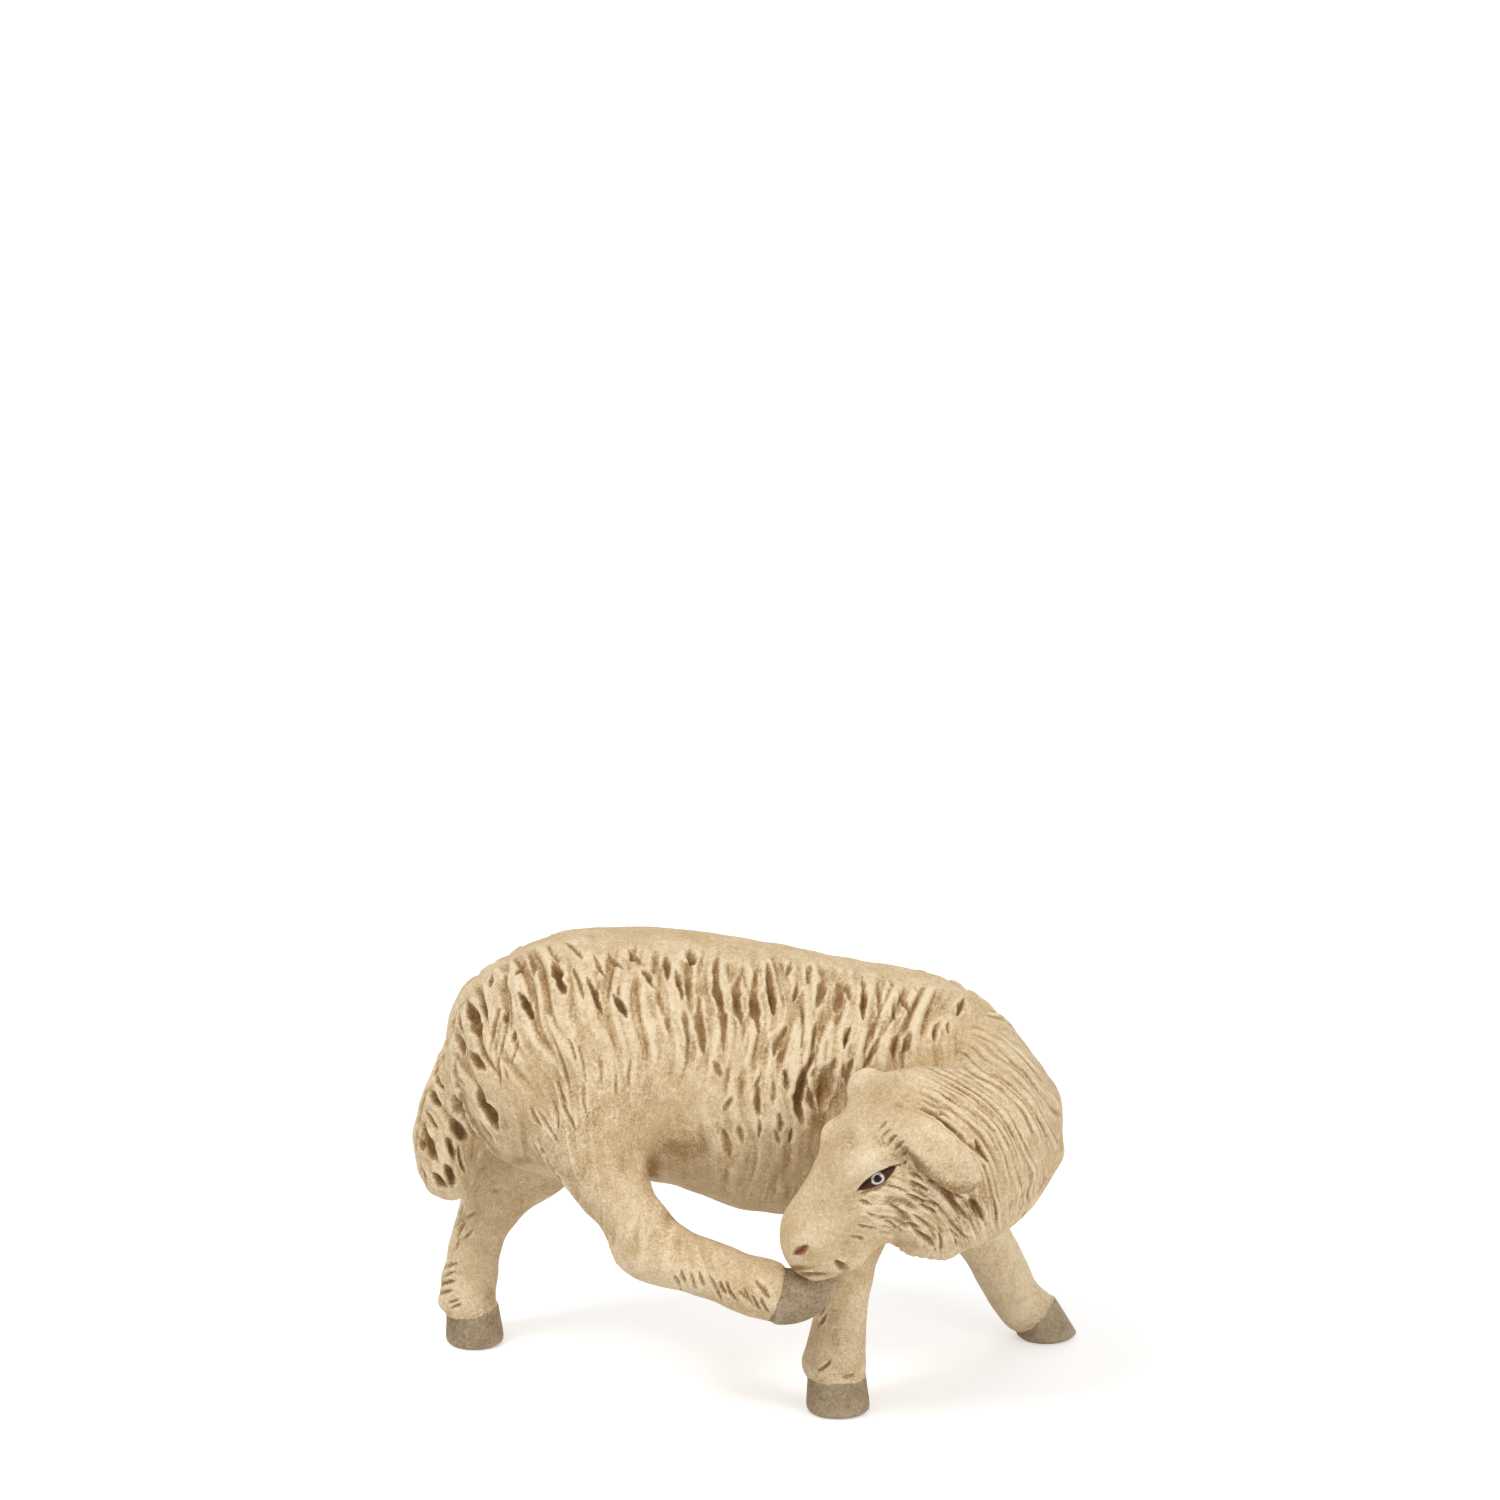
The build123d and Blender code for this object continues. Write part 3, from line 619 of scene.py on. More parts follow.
def ruffles(strand_places, steps):
    """Waves a millimetre apart that wander and have gaps, from -1 to 1."""
    drift = streaks(strand_places / 1.6, steps, 25)
    gaps = rise(streaks(strand_places / 0.9, 1.3 * steps, 27), -0.15, 0.35)
    return (np.sin(2 * math.pi * strand_places + 2.4 * drift) + 0.35) * (0.25 + 0.75 * gaps)


comb(ruffles(fold_across / MM, points[:, 2] / FOLD_LENGTH), on_neck * (1 - seen), 0.12, 0.32)
comb(ruffles(arc / PIXELS_PER_MM, arc_along / ARC_LENGTH), on_arcs, 0.11, 0.38)
print("folds on", int((on_neck > 0.5).sum()), "places")

# %% [markdown]
# ## The head
# The head is smoother than the body. A hollow under the brow holds the eye, two
# low bumps make the brows, and short gouge cuts mark the cheek, the lids and
# the mouth. Bumps are soft hills set on the spot where a pixel's ray meets the
# skin, with a twin on the other side of the face.

# %% Soft hills on the face
HEAD_MIDDLE = -12.496 * MM
skin_tree = BVHTree.FromObject(skin, bpy.context.evaluated_depsgraph_get())


def on_skin(across, down):
    """The place on the skin under a pixel of the photograph."""
    ray = ahead * focal_pixels + sideways * (across - middle) + upward * (middle - down)
    hit = skin_tree.ray_cast(Vector(eye_place), Vector(ray).normalized())
    return np.array(hit[0])


def face_frame(place, along):
    """Coordinates from a place on the face: along a direction, across it, and out; the far side is folded over."""
    folded = points.copy()
    folded[:, 1] = HEAD_MIDDLE - np.abs(points[:, 1] - HEAD_MIDDLE)
    away = folded - place
    along = np.array((along[0], 0.0, along[1])) / math.hypot(*along)
    over = np.array((-along[2], 0.0, along[0]))
    return away @ along, away @ over, away[:, 1]


face = spread(is_on("head").astype(float), ends, 3)


def hill(pixel, along, length, breadth, height):
    place = on_skin(*pixel)
    first, second, third = face_frame(place, along)
    size = (first / (length * MM)) ** 2 + (second / (breadth * MM)) ** 2 + (third / (max(length, breadth) * MM)) ** 2
    return height * MM * np.exp(-size) * face


EYE_PIXEL = (877, 1180)
LID_LINE = (0.83, 0.56)
carved += hill((874, 1183), LID_LINE, 2.6, 1.5, -0.55)
carved += hill((866, 1163), LID_LINE, 3.0, 1.4, 0.55)
carved += hill(EYE_PIXEL, LID_LINE, 1.3, 0.9, 0.45)
carved += hill((862, 1215), LID_LINE, 3.0, 2.2, 0.35)
carved += hill((806, 1238), LID_LINE, 2.2, 1.3, 0.30)
carved += hill((828, 1215), LID_LINE, 3.2, 2.0, -0.35)
print("eye at", on_skin(*EYE_PIXEL) / MM)

# %% Cuts on the face, the ear and the throat
HEAD_VIEW = (770, 1030, 5.05)
LID_CUTS = (
    (((432, 822), (530, 738), (610, 695), (672, 678)), 16, 0.55), (((450, 838), (540, 806), (605, 762)), 12, 0.3),
    (((655, 684), (740, 642), (765, 662)), 18, 0.5),
)
# The wide cut from (830, 760) and the long last cut run along the ear's lower edge; their dark stain is partly painted
# shadow under the ear.
CHEEK_CUTS = (
    (((690, 830), (860, 885)), 28, 0.5), (((740, 880), (840, 920)), 24, 0.5),
    (((700, 760), (800, 810)), 24, 0.5), (((710, 730), (760, 750)), 20, 0.4),
    (((600, 880), (690, 930)), 24, 0.45), (((480, 910), (600, 950)), 18, 0.35),
    (((570, 960), (640, 1000)), 18, 0.35), (((430, 980), (540, 1000)), 16, 0.3),
    (((640, 990), (700, 985), (760, 1000)), 16, 0.35), (((720, 930), (840, 1020)), 18, 0.4),
    (((470, 870), (500, 880)), 16, 0.4), (((420, 1040), (460, 1050)), 16, 0.35),
    (((830, 760), (910, 850), (1000, 960)), 38, 0.9), (((1000, 850), (1080, 970)), 44, 1.0),
    (((880, 840), (960, 960)), 20, 0.5), (((900, 960), (1000, 1060)), 26, 0.5),
    (((1130, 850), (1150, 970)), 20, 0.5), (((990, 570), (1110, 670)), 34, 0.6),
    (((830, 430), (930, 500), (1000, 580)), 26, 0.8), (((760, 350), (890, 400)), 16, 0.4),
    (((750, 390), (880, 430)), 14, 0.35), (((850, 1000), (860, 1150)), 20, 0.4),
    (((900, 1000), (980, 1060)), 20, 0.4), (((1045, 565), (1065, 600)), 24, 0.7),
    (((775, 1050), (800, 1072)), 36, 0.8), (((702, 626), (757, 687), (823, 757), (909, 823), (985, 853)), 30, 1.0),
)
BROW_CUTS = (
    (((560, 555), (600, 500)), 16, 0.25), (((590, 590), (640, 530)), 16, 0.28), (((625, 610), (680, 555)), 16, 0.28),
    (((655, 640), (705, 595)), 16, 0.25), (((545, 500), (575, 460)), 14, 0.2),
)
MOUTH_CUTS = (
    (((80, 1170), (126, 1222), (212, 1237), (292, 1232)), 16, 0.4), (((343, 1177), (389, 1202)), 34, 0.7),
    (((118, 1138), (190, 1082)), 16, 0.4),
)
CHEEK_CENTRE = (873, 1268)
from_centre = direct[0] - CHEEK_CENTRE[0], CHEEK_CENTRE[1] - direct[1]
swirl, reach_out = np.arctan2(*from_centre), np.hypot(*from_centre)
comb(streaks(reach_out / 3.1, swirl * 75 / 20, 26), cheek * in_view, 0.14, 0.42)
carve_view(HEAD_VIEW, LID_CUTS + MOUTH_CUTS, is_on("head") & front, direct)
carve_view(HEAD_VIEW, BROW_CUTS, is_on("head", "left_ear") & front, direct, 0.7)
carve_view(HEAD_VIEW, CHEEK_CUTS, is_on("head", "neck", "right_ear") & front, direct, 0.7)
print(len(LID_CUTS + BROW_CUTS + CHEEK_CUTS + MOUTH_CUTS), "cuts on the head")

# %% [markdown]
# ## Legs
# The legs have a few short cuts down the shank, and small ridges where the
# wool ends above a hoof.

# %% Cuts on the legs
RAISED_SHANK_CUTS = (
    (((674, 1273), (682, 1290)), 4, 0.30), (((681, 1269), (686, 1282)), 4, 0.35), (((699, 1270), (705, 1287)), 4, 0.30),
    (((709, 1274), (720, 1305)), 4, 0.30), (((719, 1280), (726, 1296)), 5, 0.50), (((726, 1280), (736, 1304)), 5, 0.45),
    (((737, 1290), (747, 1305)), 4, 0.30), (((744, 1287), (754, 1310)), 4, 0.30), (((751, 1294), (760, 1315)), 4, 0.35),
    (((755, 1280), (770, 1300)), 6, 0.45), (((760, 1297), (770, 1317)), 4, 0.35), (((691, 1272), (697, 1290)), 4, 0.22),
)
HIND_LEG_CUTS = (
    (((446, 1268), (455, 1264)), 5, 0.45), (((444, 1277), (453, 1272)), 5, 0.50), (((443, 1284), (450, 1282)), 6, 0.60),
    (((441, 1293), (449, 1291)), 5, 0.50), (((446, 1303), (460, 1299)), 4, 0.40), (((450, 1309), (462, 1304)), 4, 0.40),
    (((458, 1238), (466, 1222)), 4, 0.40), (((456, 1228), (461, 1214)), 4, 0.35), (((463, 1240), (474, 1228)), 4, 0.30),
    (((459, 1216), (463, 1204)), 4, 0.35), (((454, 1250), (459, 1240)), 4, 0.40), (((466, 1218), (476, 1212)), 4, 0.25),
)
FORE_LEG_CUTS = (
    (((816, 1372), (832, 1359)), 4, 0.30), (((818, 1326), (826, 1314)), 4, 0.35), (((820, 1316), (826, 1305)), 4, 0.30),
    (((842, 1378), (856, 1374)), 4, 0.25),
)
in_view = np.maximum(in_view, 0.7 * is_on(*LEGS) * (points[:, 2] < 20 * MM))
for leg, cuts in (("hind_right_leg", RAISED_SHANK_CUTS), ("hind_left_leg", HIND_LEG_CUTS), ("fore_right_leg", FORE_LEG_CUTS)):
    for route, width, depth in cuts:
        gouge(route, width, depth, is_on(leg) & front, direct, 0.8)
    print(len(cuts), "cuts on", leg)

# %% Knobs of bone
def knob(pixel, radius, height, *names):
    """Push a round place outward, around the place of these pieces that appears nearest to a pixel."""
    own = np.flatnonzero(is_on(*names) & front)
    top = own[np.argmin(np.hypot(direct[0][own] - pixel[0], direct[1][own] - pixel[1]))]
    away = np.linalg.norm(points - points[top], axis=1)
    carved[:] += height * MM * np.exp(-(away / (radius * MM)) ** 2) * spread(is_on(*names).astype(float), ends, 3)


KNOBS = (
    ((1004, 1019), 2.0, 0.45, ("neck", "trunk_left_shell")), ((897, 1113), 1.6, -0.5, ("left_ear",)),
    ((622, 1262), 2.6, 0.9, ("hind_right_leg",)), ((441, 1302), 1.0, 0.5, ("hind_left_leg",)),
    ((803, 1369), 1.7, 0.4, ("fore_right_leg",)), ((1010, 1318), 2.2, 0.6, ("fore_left_leg",)),
    ((1042, 1285), 3.0, -0.5, ("fore_left_leg",)), ((985, 1265), 2.5, -0.4, ("fore_left_leg",)),
    ((1058, 1158), 1.8, 0.6, ("neck",)), ((1044, 1060), 3.2, -0.6, ("neck",)), ((1028, 1212), 3.6, -1.3, ("neck",)),
    ((857, 1262), 1.5, 0.45, ("head",)), ((858, 1090), 2.8, 0.8, ("head", "right_ear", "neck")),
    ((891, 1087), 1.6, 0.8, ("head", "right_ear", "neck")), ((884, 1082), 2.4, 1.0, ("head", "right_ear", "neck")), ((905, 1084), 2.4, 0.9, ("head", "right_ear", "neck")),
    ((828, 1130), 1.7, 0.8, ("head",)), ((843, 1111), 1.4, -0.35, ("head",)),
    ((906, 1248), 1.6, -0.6, ("head", "neck")), ((946, 1256), 1.7, 0.6, ("head", "neck")),
    ((437, 1047), 3.2, 0.1, ("tail", "trunk_left_shell", "trunk_right_shell")),
    ((645, 1284), 3.2, 0.9, ("hind_right_leg",)), ((600, 1238), 3.2, -0.5, ("hind_right_leg",)),
    ((722, 1250), 2.6, 0.7, ("hind_right_leg",)), ((760, 1262), 2.6, 0.7, ("hind_right_leg",)),
    ((735, 1312), 3.0, -0.4, ("hind_right_leg",)), ((765, 1322), 2.6, -0.4, ("hind_right_leg",)),
    ((526, 1206), 3.2, -1.1, ("hind_left_leg",)), ((728, 1207), 3.6, 0.6, ("trunk_right_shell", "trunk_left_shell")),
)
for pixel, radius, height, names in KNOBS:
    knob(pixel, radius, height, *names)
print(len(KNOBS), "knobs and dips")

# %% [markdown]
# ## Hand-made unevenness
# A modelled surface is never even. Slow swells and a fine tremble are added
# over everything, weaker on the hooves and on the head.

# %% Apply the carving
hoof_like = spread(is_on(*HOOVES).astype(float), ends, 2)
uneven = 0.16 * MM * wander(points, 11 * MM, 11) + 0.07 * MM * wander(points, 3.2 * MM, 12)
carved += uneven * (1 - 0.85 * hoof_like) * (1 - 0.6 * face)
above_floor = np.clip(points[:, 2] / (1.5 * MM), 0, 1)
points = points + facing_out * (carved * above_floor * (1 - hoof_like * 0.7))[:, None]
points[:, 2] = np.maximum(points[:, 2], 0)
moved(skin.data, points)
print("carved from", round(carved.min() / MM, 2), "to", round(carved.max() / MM, 2), "mm")

# %% [markdown]
# ## Where the wash settles, with painted shade and light
# The figure was painted ecru and then washed with thin brown, which was wiped
# off the high places. It stays in the cuts and in every hollow. A place is
# hollow where the skin lies below its surroundings, measured against a
# smoothed copy at two scales. Painted shadow is added too, under the ear and
# where the muzzle rests on the raised hoof. The far front leg is painted
# lighter, as painted light.

# %% Hollow places
facing_out = outward(skin.data)
hollow, raised = np.zeros(count), np.zeros(count)
for rounds, full in ((12, 0.10 * MM), (60, 0.35 * MM)):
    smooth_copy = np.column_stack([spread(points[:, axis], ends, rounds) for axis in range(3)])
    below = np.einsum("ij,ij->i", smooth_copy - points, facing_out)
    hollow = np.maximum(hollow, np.clip(below / full, 0, 1))
    raised = np.maximum(raised, np.clip(-below / full, 0, 1))
# Brown patches: some are wash, and some are painted shadow. The painted shadows lie under the ear's lower edge and tip,
# behind the eye under the ear's root, and along the line where the muzzle rests on the raised hoof.
WASH_AND_SHADOW_PATCHES = (
    ((832, 1092), 14, 26, 0.60), ((822, 1076), 16, 14, 0.60), ((818, 1116), 9, 16, 0.75), ((690, 1150), 34, 18, 0.5),
    ((652, 1166), 9, 16, 0.65), ((905, 1155), 16, 8, 0.5), ((919, 1171), 14, 11, 0.65), ((975, 1207), 8, 14, 0.9), ((842, 1266), 7, 6, 0.7), ((570, 1110), 20, 26, 0.25),
    ((908, 1072), 14, 7, 0.5), ((972, 1212), 12, 12, 0.6), ((522, 1160), 14, 6, 0.5), ((500, 1125), 14, 20, 0.4),
    ((490, 1300), 7, 18, 0.3), ((845, 1376), 16, 5, 0.4), ((836, 1335), 9, 22, 0.35), ((668, 1220), 10, 12, 0.4),
    ((928, 1239), 6, 6, 0.8), ((812, 1274), 18, 3.5, 0.9), ((496, 1192), 9, 4, 0.4), ((461, 1222), 7, 16, 0.45),
    ((893, 1140), 18, 12, 0.5), ((872, 1196), 14, 5, 0.3), ((808, 1252), 18, 10, 0.25), ((846, 1244), 12, 9, 0.28),
    ((470, 1190), 14, 8, 0.35), ((745, 1290), 20, 8, 0.2), ((933, 1181), 9, 7, 0.7), ((951, 1195), 10, 6, 0.75),
    ((967, 1204), 9, 6, 0.8), ((585, 1120), 75, 85, 0.30), ((850, 1345), 22, 45, 0.2), ((850, 1140), 20, 12, 0.2),
    ((990, 1120), 70, 75, 0.18), ((968, 1228), 22, 16, 0.35), ((988, 1195), 12, 24, 0.40), ((798, 1268), 14, 4, 0.9),
)
for (patch_across, patch_down), wide, tall, amount in WASH_AND_SHADOW_PATCHES:
    patch = np.exp(-((direct[0] - patch_across) / wide) ** 2 - ((direct[1] - patch_down) / tall) ** 2)
    wash = np.maximum(wash, patch * amount * front * ~is_on("left_ear"))
# Painted shade: the ear is browned where it faces down.
wash = np.maximum(wash, 0.6 * is_on("left_ear") * rise(-facing_out[:, 2], -0.15, 0.5))
wash = np.clip(np.maximum(wash * 0.95, hollow * 0.55) - 0.20 * raised, 0, 1)
# Painted light: the far front leg and its hoof are painted paler, as if more brightly lit.
raised = np.minimum(raised + 0.5 * is_on("fore_left_leg", "fore_left_hoof"), 1)
print("mean wash", round(float(wash.mean()), 3))

# %% Keep what the paint needs on the skin
PAINT_EDGES = dict(CORONETS, hind_right=((3.1, -10.498, 15.8), (2.0, 0.0, -0.65)))


def keep(mesh, name, values, kind):
    layer = mesh.attributes.new(name, kind, "POINT")
    layer.data.foreach_set("vector" if kind == "FLOAT_VECTOR" else "value", np.ascontiguousarray(values, np.float32).ravel())


keep(skin.data, "wash", wash, "FLOAT")
keep(skin.data, "raised", raised, "FLOAT")
keep(skin.data, "skin_outward", facing_out, "FLOAT_VECTOR")
STRAND_STRETCH = 0.22
on_cheek = cheek > 0.03
strand = np.column_stack((np.where(on_cheek, 2 * reach_out, strand_across) / PIXELS_PER_MM,
                          np.where(on_cheek, swirl * 75, down) / PIXELS_PER_MM * STRAND_STRETCH, np.zeros(count)))
hair = body * (1 - hoof_like) * (0.3 + 0.7 * in_view) * (0.05 + 0.75 * rise(points[:, 2], 15 * MM, 24 * MM) * (1 - 0.9 * plain))
on_seen_side = seen > 0.5
fold = np.column_stack((np.where(on_seen_side, arc / PIXELS_PER_MM, fold_across / MM),
                        np.where(on_seen_side, arc_along / PIXELS_PER_MM, points[:, 2] / MM) * STRAND_STRETCH, np.zeros(count)))
keep(skin.data, "strand", strand, "FLOAT_VECTOR")
keep(skin.data, "fold", fold, "FLOAT_VECTOR")
keep(skin.data, "hair", np.where(on_cheek, 1.8 * cheek, hair), "FLOAT")
keep(skin.data, "ruffle", 0.7 * np.where(on_seen_side, on_arcs, on_neck), "FLOAT")
hoof_depth = np.full(count, -9.0)
for limb, (point, facing) in PAINT_EDGES.items():
    here = is_on(limb + "_leg", limb + "_hoof")
    past = (points[here] - np.array(point) * MM) @ np.array(facing) / np.linalg.norm(facing)
    hoof_depth[here] = past / MM
keep(skin.data, "hoof", hoof_depth, "FLOAT")
print("attributes", [layer.name for layer in skin.data.attributes])

# %% [markdown]
# ## Paint
# Both finishes are matte: a chalky ecru with the brown wash, and a grey-brown
# for the hooves. The shared effect is the wash, a node group that turns
# the stored amount into a ragged stain with noise, so it has no pixel steps.
# The same amount also holds painted shadow under the ear and the muzzle, and
# painted shade on the ear's underside.

# %% Colours
def shade(red, green, blue):
    """A colour given as it looks on a screen, from 0 to 255."""
    return tuple(((part / 255 + 0.055) / 1.055) ** 2.4 for part in (red, green, blue)) + (1.0,)


ECRU = shade(237, 217, 183)
ECRU_WARM = shade(204, 177, 134)
# The two wash colours paint the brown wash, and also the painted shadow and painted shade that its amount carries.
WASH_AND_SHADE_BROWN = shade(150, 113, 64)
WASH_AND_SHADE_DARK = shade(98, 69, 36)
HOOF_GREY = shade(184, 165, 137)
HOOF_DARK = shade(136, 115, 86)


# %% Node helpers
def joined(tree, kind, inputs=(), **settings):
    """Add a node, set its values and link what is given as a socket."""
    node = tree.nodes.new(kind)
    for name, value in settings.items():
        setattr(node, name, value)
    for key, value in dict(inputs).items():
        socket = node.inputs[key]
        if isinstance(value, bpy.types.NodeSocket):
            tree.links.new(value, socket)
        else:
            socket.default_value = value
    return node


def sum_of(tree, operation, first, second=0.0, third=0.0, clamp=False):
    node = joined(tree, "ShaderNodeMath", {0: first, 1: second, 2: third}, operation=operation, use_clamp=clamp)
    return node.outputs[0]


def ramp(tree, value, low, high):
    node = joined(tree, "ShaderNodeMapRange", {"Value": value, "From Min": low, "From Max": high},
                  interpolation_type="SMOOTHSTEP")
    return node.outputs["Result"]


def blend(tree, share, first, second):
    node = joined(tree, "ShaderNodeMix", {0: share, 6: first, 7: second}, data_type="RGBA")
    return node.outputs[2]


def speckle(tree, place, per_metre, detail=3.0, rough=0.6):
    node = joined(tree, "ShaderNodeTexNoise", {"Vector": place, "Scale": per_metre, "Detail": detail, "Roughness": rough})
    return node.outputs["Fac"]


# %% Strands as a node group
def new_group(title, *sockets):
    """A node group with these sockets: name, IN or OUT, and Color or Float."""
    group = bpy.data.node_groups.new(title, "ShaderNodeTree")
    for name, way, kind in sockets:
        group.interface.new_socket(name=name, in_out=way + "PUT", socket_type="NodeSocket" + kind)
    return group, group.nodes.new("NodeGroupInput"), group.nodes.new("NodeGroupOutput")


def stored(tree, name, output="Fac"):
    return joined(tree, "ShaderNodeAttribute", attribute_name=name).outputs[output]


strand_group, given, result = new_group("fine strands", ("Lines", "OUT", "Float"))
hairs = speckle(strand_group, stored(strand_group, "strand", "Vector"), 1.7, 3.0, 0.6)
fold_place = stored(strand_group, "fold", "Vector")
waves = joined(strand_group, "ShaderNodeTexWave", {"Vector": fold_place, "Scale": 0.50, "Distortion": 5.0, "Detail": 2.0,
                                                   "Detail Scale": 1.6}).outputs["Fac"]
waves = sum_of(strand_group, "MULTIPLY_ADD", sum_of(strand_group, "SUBTRACT", waves, 0.5),
               ramp(strand_group, speckle(strand_group, fold_place, 0.9), 0.40, 0.60), 0.5)
lines = 0.0
for line, strength_name in ((hairs, "hair"), (waves, "ruffle")):
    line = sum_of(strand_group, "MULTIPLY", sum_of(strand_group, "SUBTRACT", line, 0.5), 2.0)
    lines = sum_of(strand_group, "MULTIPLY_ADD", line, stored(strand_group, strength_name), lines)
strand_group.links.new(lines, result.inputs["Lines"])
print("group", strand_group.name, "with", len(strand_group.nodes), "nodes")

# %% The wash and painted shade as a node group
wash_and_shade_group, given, result = new_group(
    "brown wash", ("Base", "IN", "Color"), ("Amount", "IN", "Float"), ("Lines", "IN", "Float"),
    ("Brown", "IN", "Color"), ("Dark", "IN", "Color"), ("Color", "OUT", "Color"), ("Height", "OUT", "Float"))
place = joined(wash_and_shade_group, "ShaderNodeTexCoord").outputs["Object"]
fine = speckle(wash_and_shade_group, place, 2600, 4.0, 0.65)
broad = speckle(wash_and_shade_group, place, 420, 3.0, 0.55)
grain = speckle(wash_and_shade_group, place, 5200, 2.0, 0.7)
veins = joined(wash_and_shade_group, "ShaderNodeTexNoise", {"Vector": place, "Scale": 1300, "Detail": 4.0, "Roughness": 0.6},
               noise_type="RIDGED_MULTIFRACTAL").outputs["Fac"]
veins = ramp(wash_and_shade_group, veins, 0.2, 1.4)
ragged = given.outputs["Amount"]
for value, share in ((fine, 0.70), (broad, 0.60), (grain, 0.60), (veins, -0.25)):
    ragged = sum_of(wash_and_shade_group, "MULTIPLY_ADD", sum_of(wash_and_shade_group, "SUBTRACT", value, 0.5), share, ragged)
ragged = sum_of(wash_and_shade_group, "MULTIPLY_ADD", given.outputs["Lines"], -0.38, ragged)
stain = ramp(wash_and_shade_group, ragged, 0.10, 0.78)
deep = ramp(wash_and_shade_group, ragged, 0.66, 1.15)
browned = blend(wash_and_shade_group, sum_of(wash_and_shade_group, "MULTIPLY", stain, 0.92), given.outputs["Base"], given.outputs["Brown"])
darkened = blend(wash_and_shade_group, sum_of(wash_and_shade_group, "MULTIPLY", deep, 0.9), browned, given.outputs["Dark"])
wash_and_shade_group.links.new(darkened, result.inputs["Color"])
wash_and_shade_group.links.new(sum_of(wash_and_shade_group, "MULTIPLY_ADD", given.outputs["Lines"], 0.6, sum_of(wash_and_shade_group, "ADD", fine, sum_of(wash_and_shade_group, "ADD", grain, veins))), result.inputs["Height"])
print("group", wash_and_shade_group.name, "with", len(wash_and_shade_group.nodes), "nodes")

# %% [markdown]
# ## Painted eyes and nostrils
# The eye is a dark almond with a white ring and a black pupil, a third of a
# millimetre thick, finer than the mesh. So it is drawn by the material from
# Object coordinates, folded over the middle of the face, and both eyes match.

# %% The face as a node group
EYE_PLACE = on_skin(*EYE_PIXEL)
NOSTRIL_PLACE = on_skin(801, 1250)
face_group, given, result = new_group("painted face", ("Base", "IN", "Color"), ("Color", "OUT", "Color"))
place = joined(face_group, "ShaderNodeTexCoord").outputs["Object"]
apart = joined(face_group, "ShaderNodeSeparateXYZ", {"Vector": place})


def face_axes(spot, along):
    """Coordinates in millimetres along and across a feature of the face."""
    length = math.hypot(*along)
    ax, az = along[0] / length / MM, along[1] / length / MM
    x = sum_of(face_group, "SUBTRACT", apart.outputs["X"], float(spot[0]))
    z = sum_of(face_group, "SUBTRACT", apart.outputs["Z"], float(spot[2]))
    first = sum_of(face_group, "MULTIPLY_ADD", z, az, sum_of(face_group, "MULTIPLY", x, ax))
    second = sum_of(face_group, "MULTIPLY_ADD", z, ax, sum_of(face_group, "MULTIPLY", x, -az))
    return first, second


def oval(first, second, length, breadth, edge, first_at=0.0, second_at=0.0):
    """1 inside an oval and 0 outside, with a soft edge."""
    a = sum_of(face_group, "DIVIDE", sum_of(face_group, "SUBTRACT", first, first_at), length)
    b = sum_of(face_group, "DIVIDE", sum_of(face_group, "SUBTRACT", second, second_at), breadth)
    size = sum_of(face_group, "SQRT", sum_of(face_group, "MULTIPLY_ADD", a, a, sum_of(face_group, "MULTIPLY", b, b)))
    return ramp(face_group, size, 1 + edge, 1 - edge)


def lens(first, second, half_length, half_breadth, edge):
    """1 inside an almond with two pointed ends."""
    a = sum_of(face_group, "DIVIDE", first, half_length)
    rim = sum_of(face_group, "MULTIPLY", sum_of(face_group, "SUBTRACT", 1.0, sum_of(face_group, "MULTIPLY", a, a)), half_breadth)
    inside = sum_of(face_group, "SUBTRACT", rim, sum_of(face_group, "ABSOLUTE", second))
    return ramp(face_group, inside, -edge, edge)


first, second = face_axes(EYE_PLACE, LID_LINE)
side_only = ramp(face_group, sum_of(face_group, "ABSOLUTE", sum_of(face_group, "SUBTRACT", apart.outputs["Y"], float(HEAD_MIDDLE))),
                 2.0 * MM, 2.6 * MM)
almond = sum_of(face_group, "MULTIPLY", lens(first, second, 2.4, 0.72, 0.10), side_only)
white = sum_of(face_group, "MULTIPLY", oval(first, second, 0.70, 0.60, 0.10, 0.10, 0.0), side_only)
pupil = sum_of(face_group, "MULTIPLY", oval(first, second, 0.44, 0.36, 0.14, 0.10, 0.0), side_only)
painted = blend(face_group, almond, given.outputs["Base"], shade(70, 44, 24))
painted = blend(face_group, white, painted, shade(222, 214, 200))
painted = blend(face_group, pupil, painted, shade(24, 18, 15))
first, second = face_axes(NOSTRIL_PLACE, (0.70, 0.60))
nostril = lens(first, second, 1.05, 0.46, 0.18)
painted = blend(face_group, nostril, painted, shade(150, 96, 70))
face_group.links.new(painted, result.inputs["Color"])
print("group", face_group.name, "with", len(face_group.nodes), "nodes")


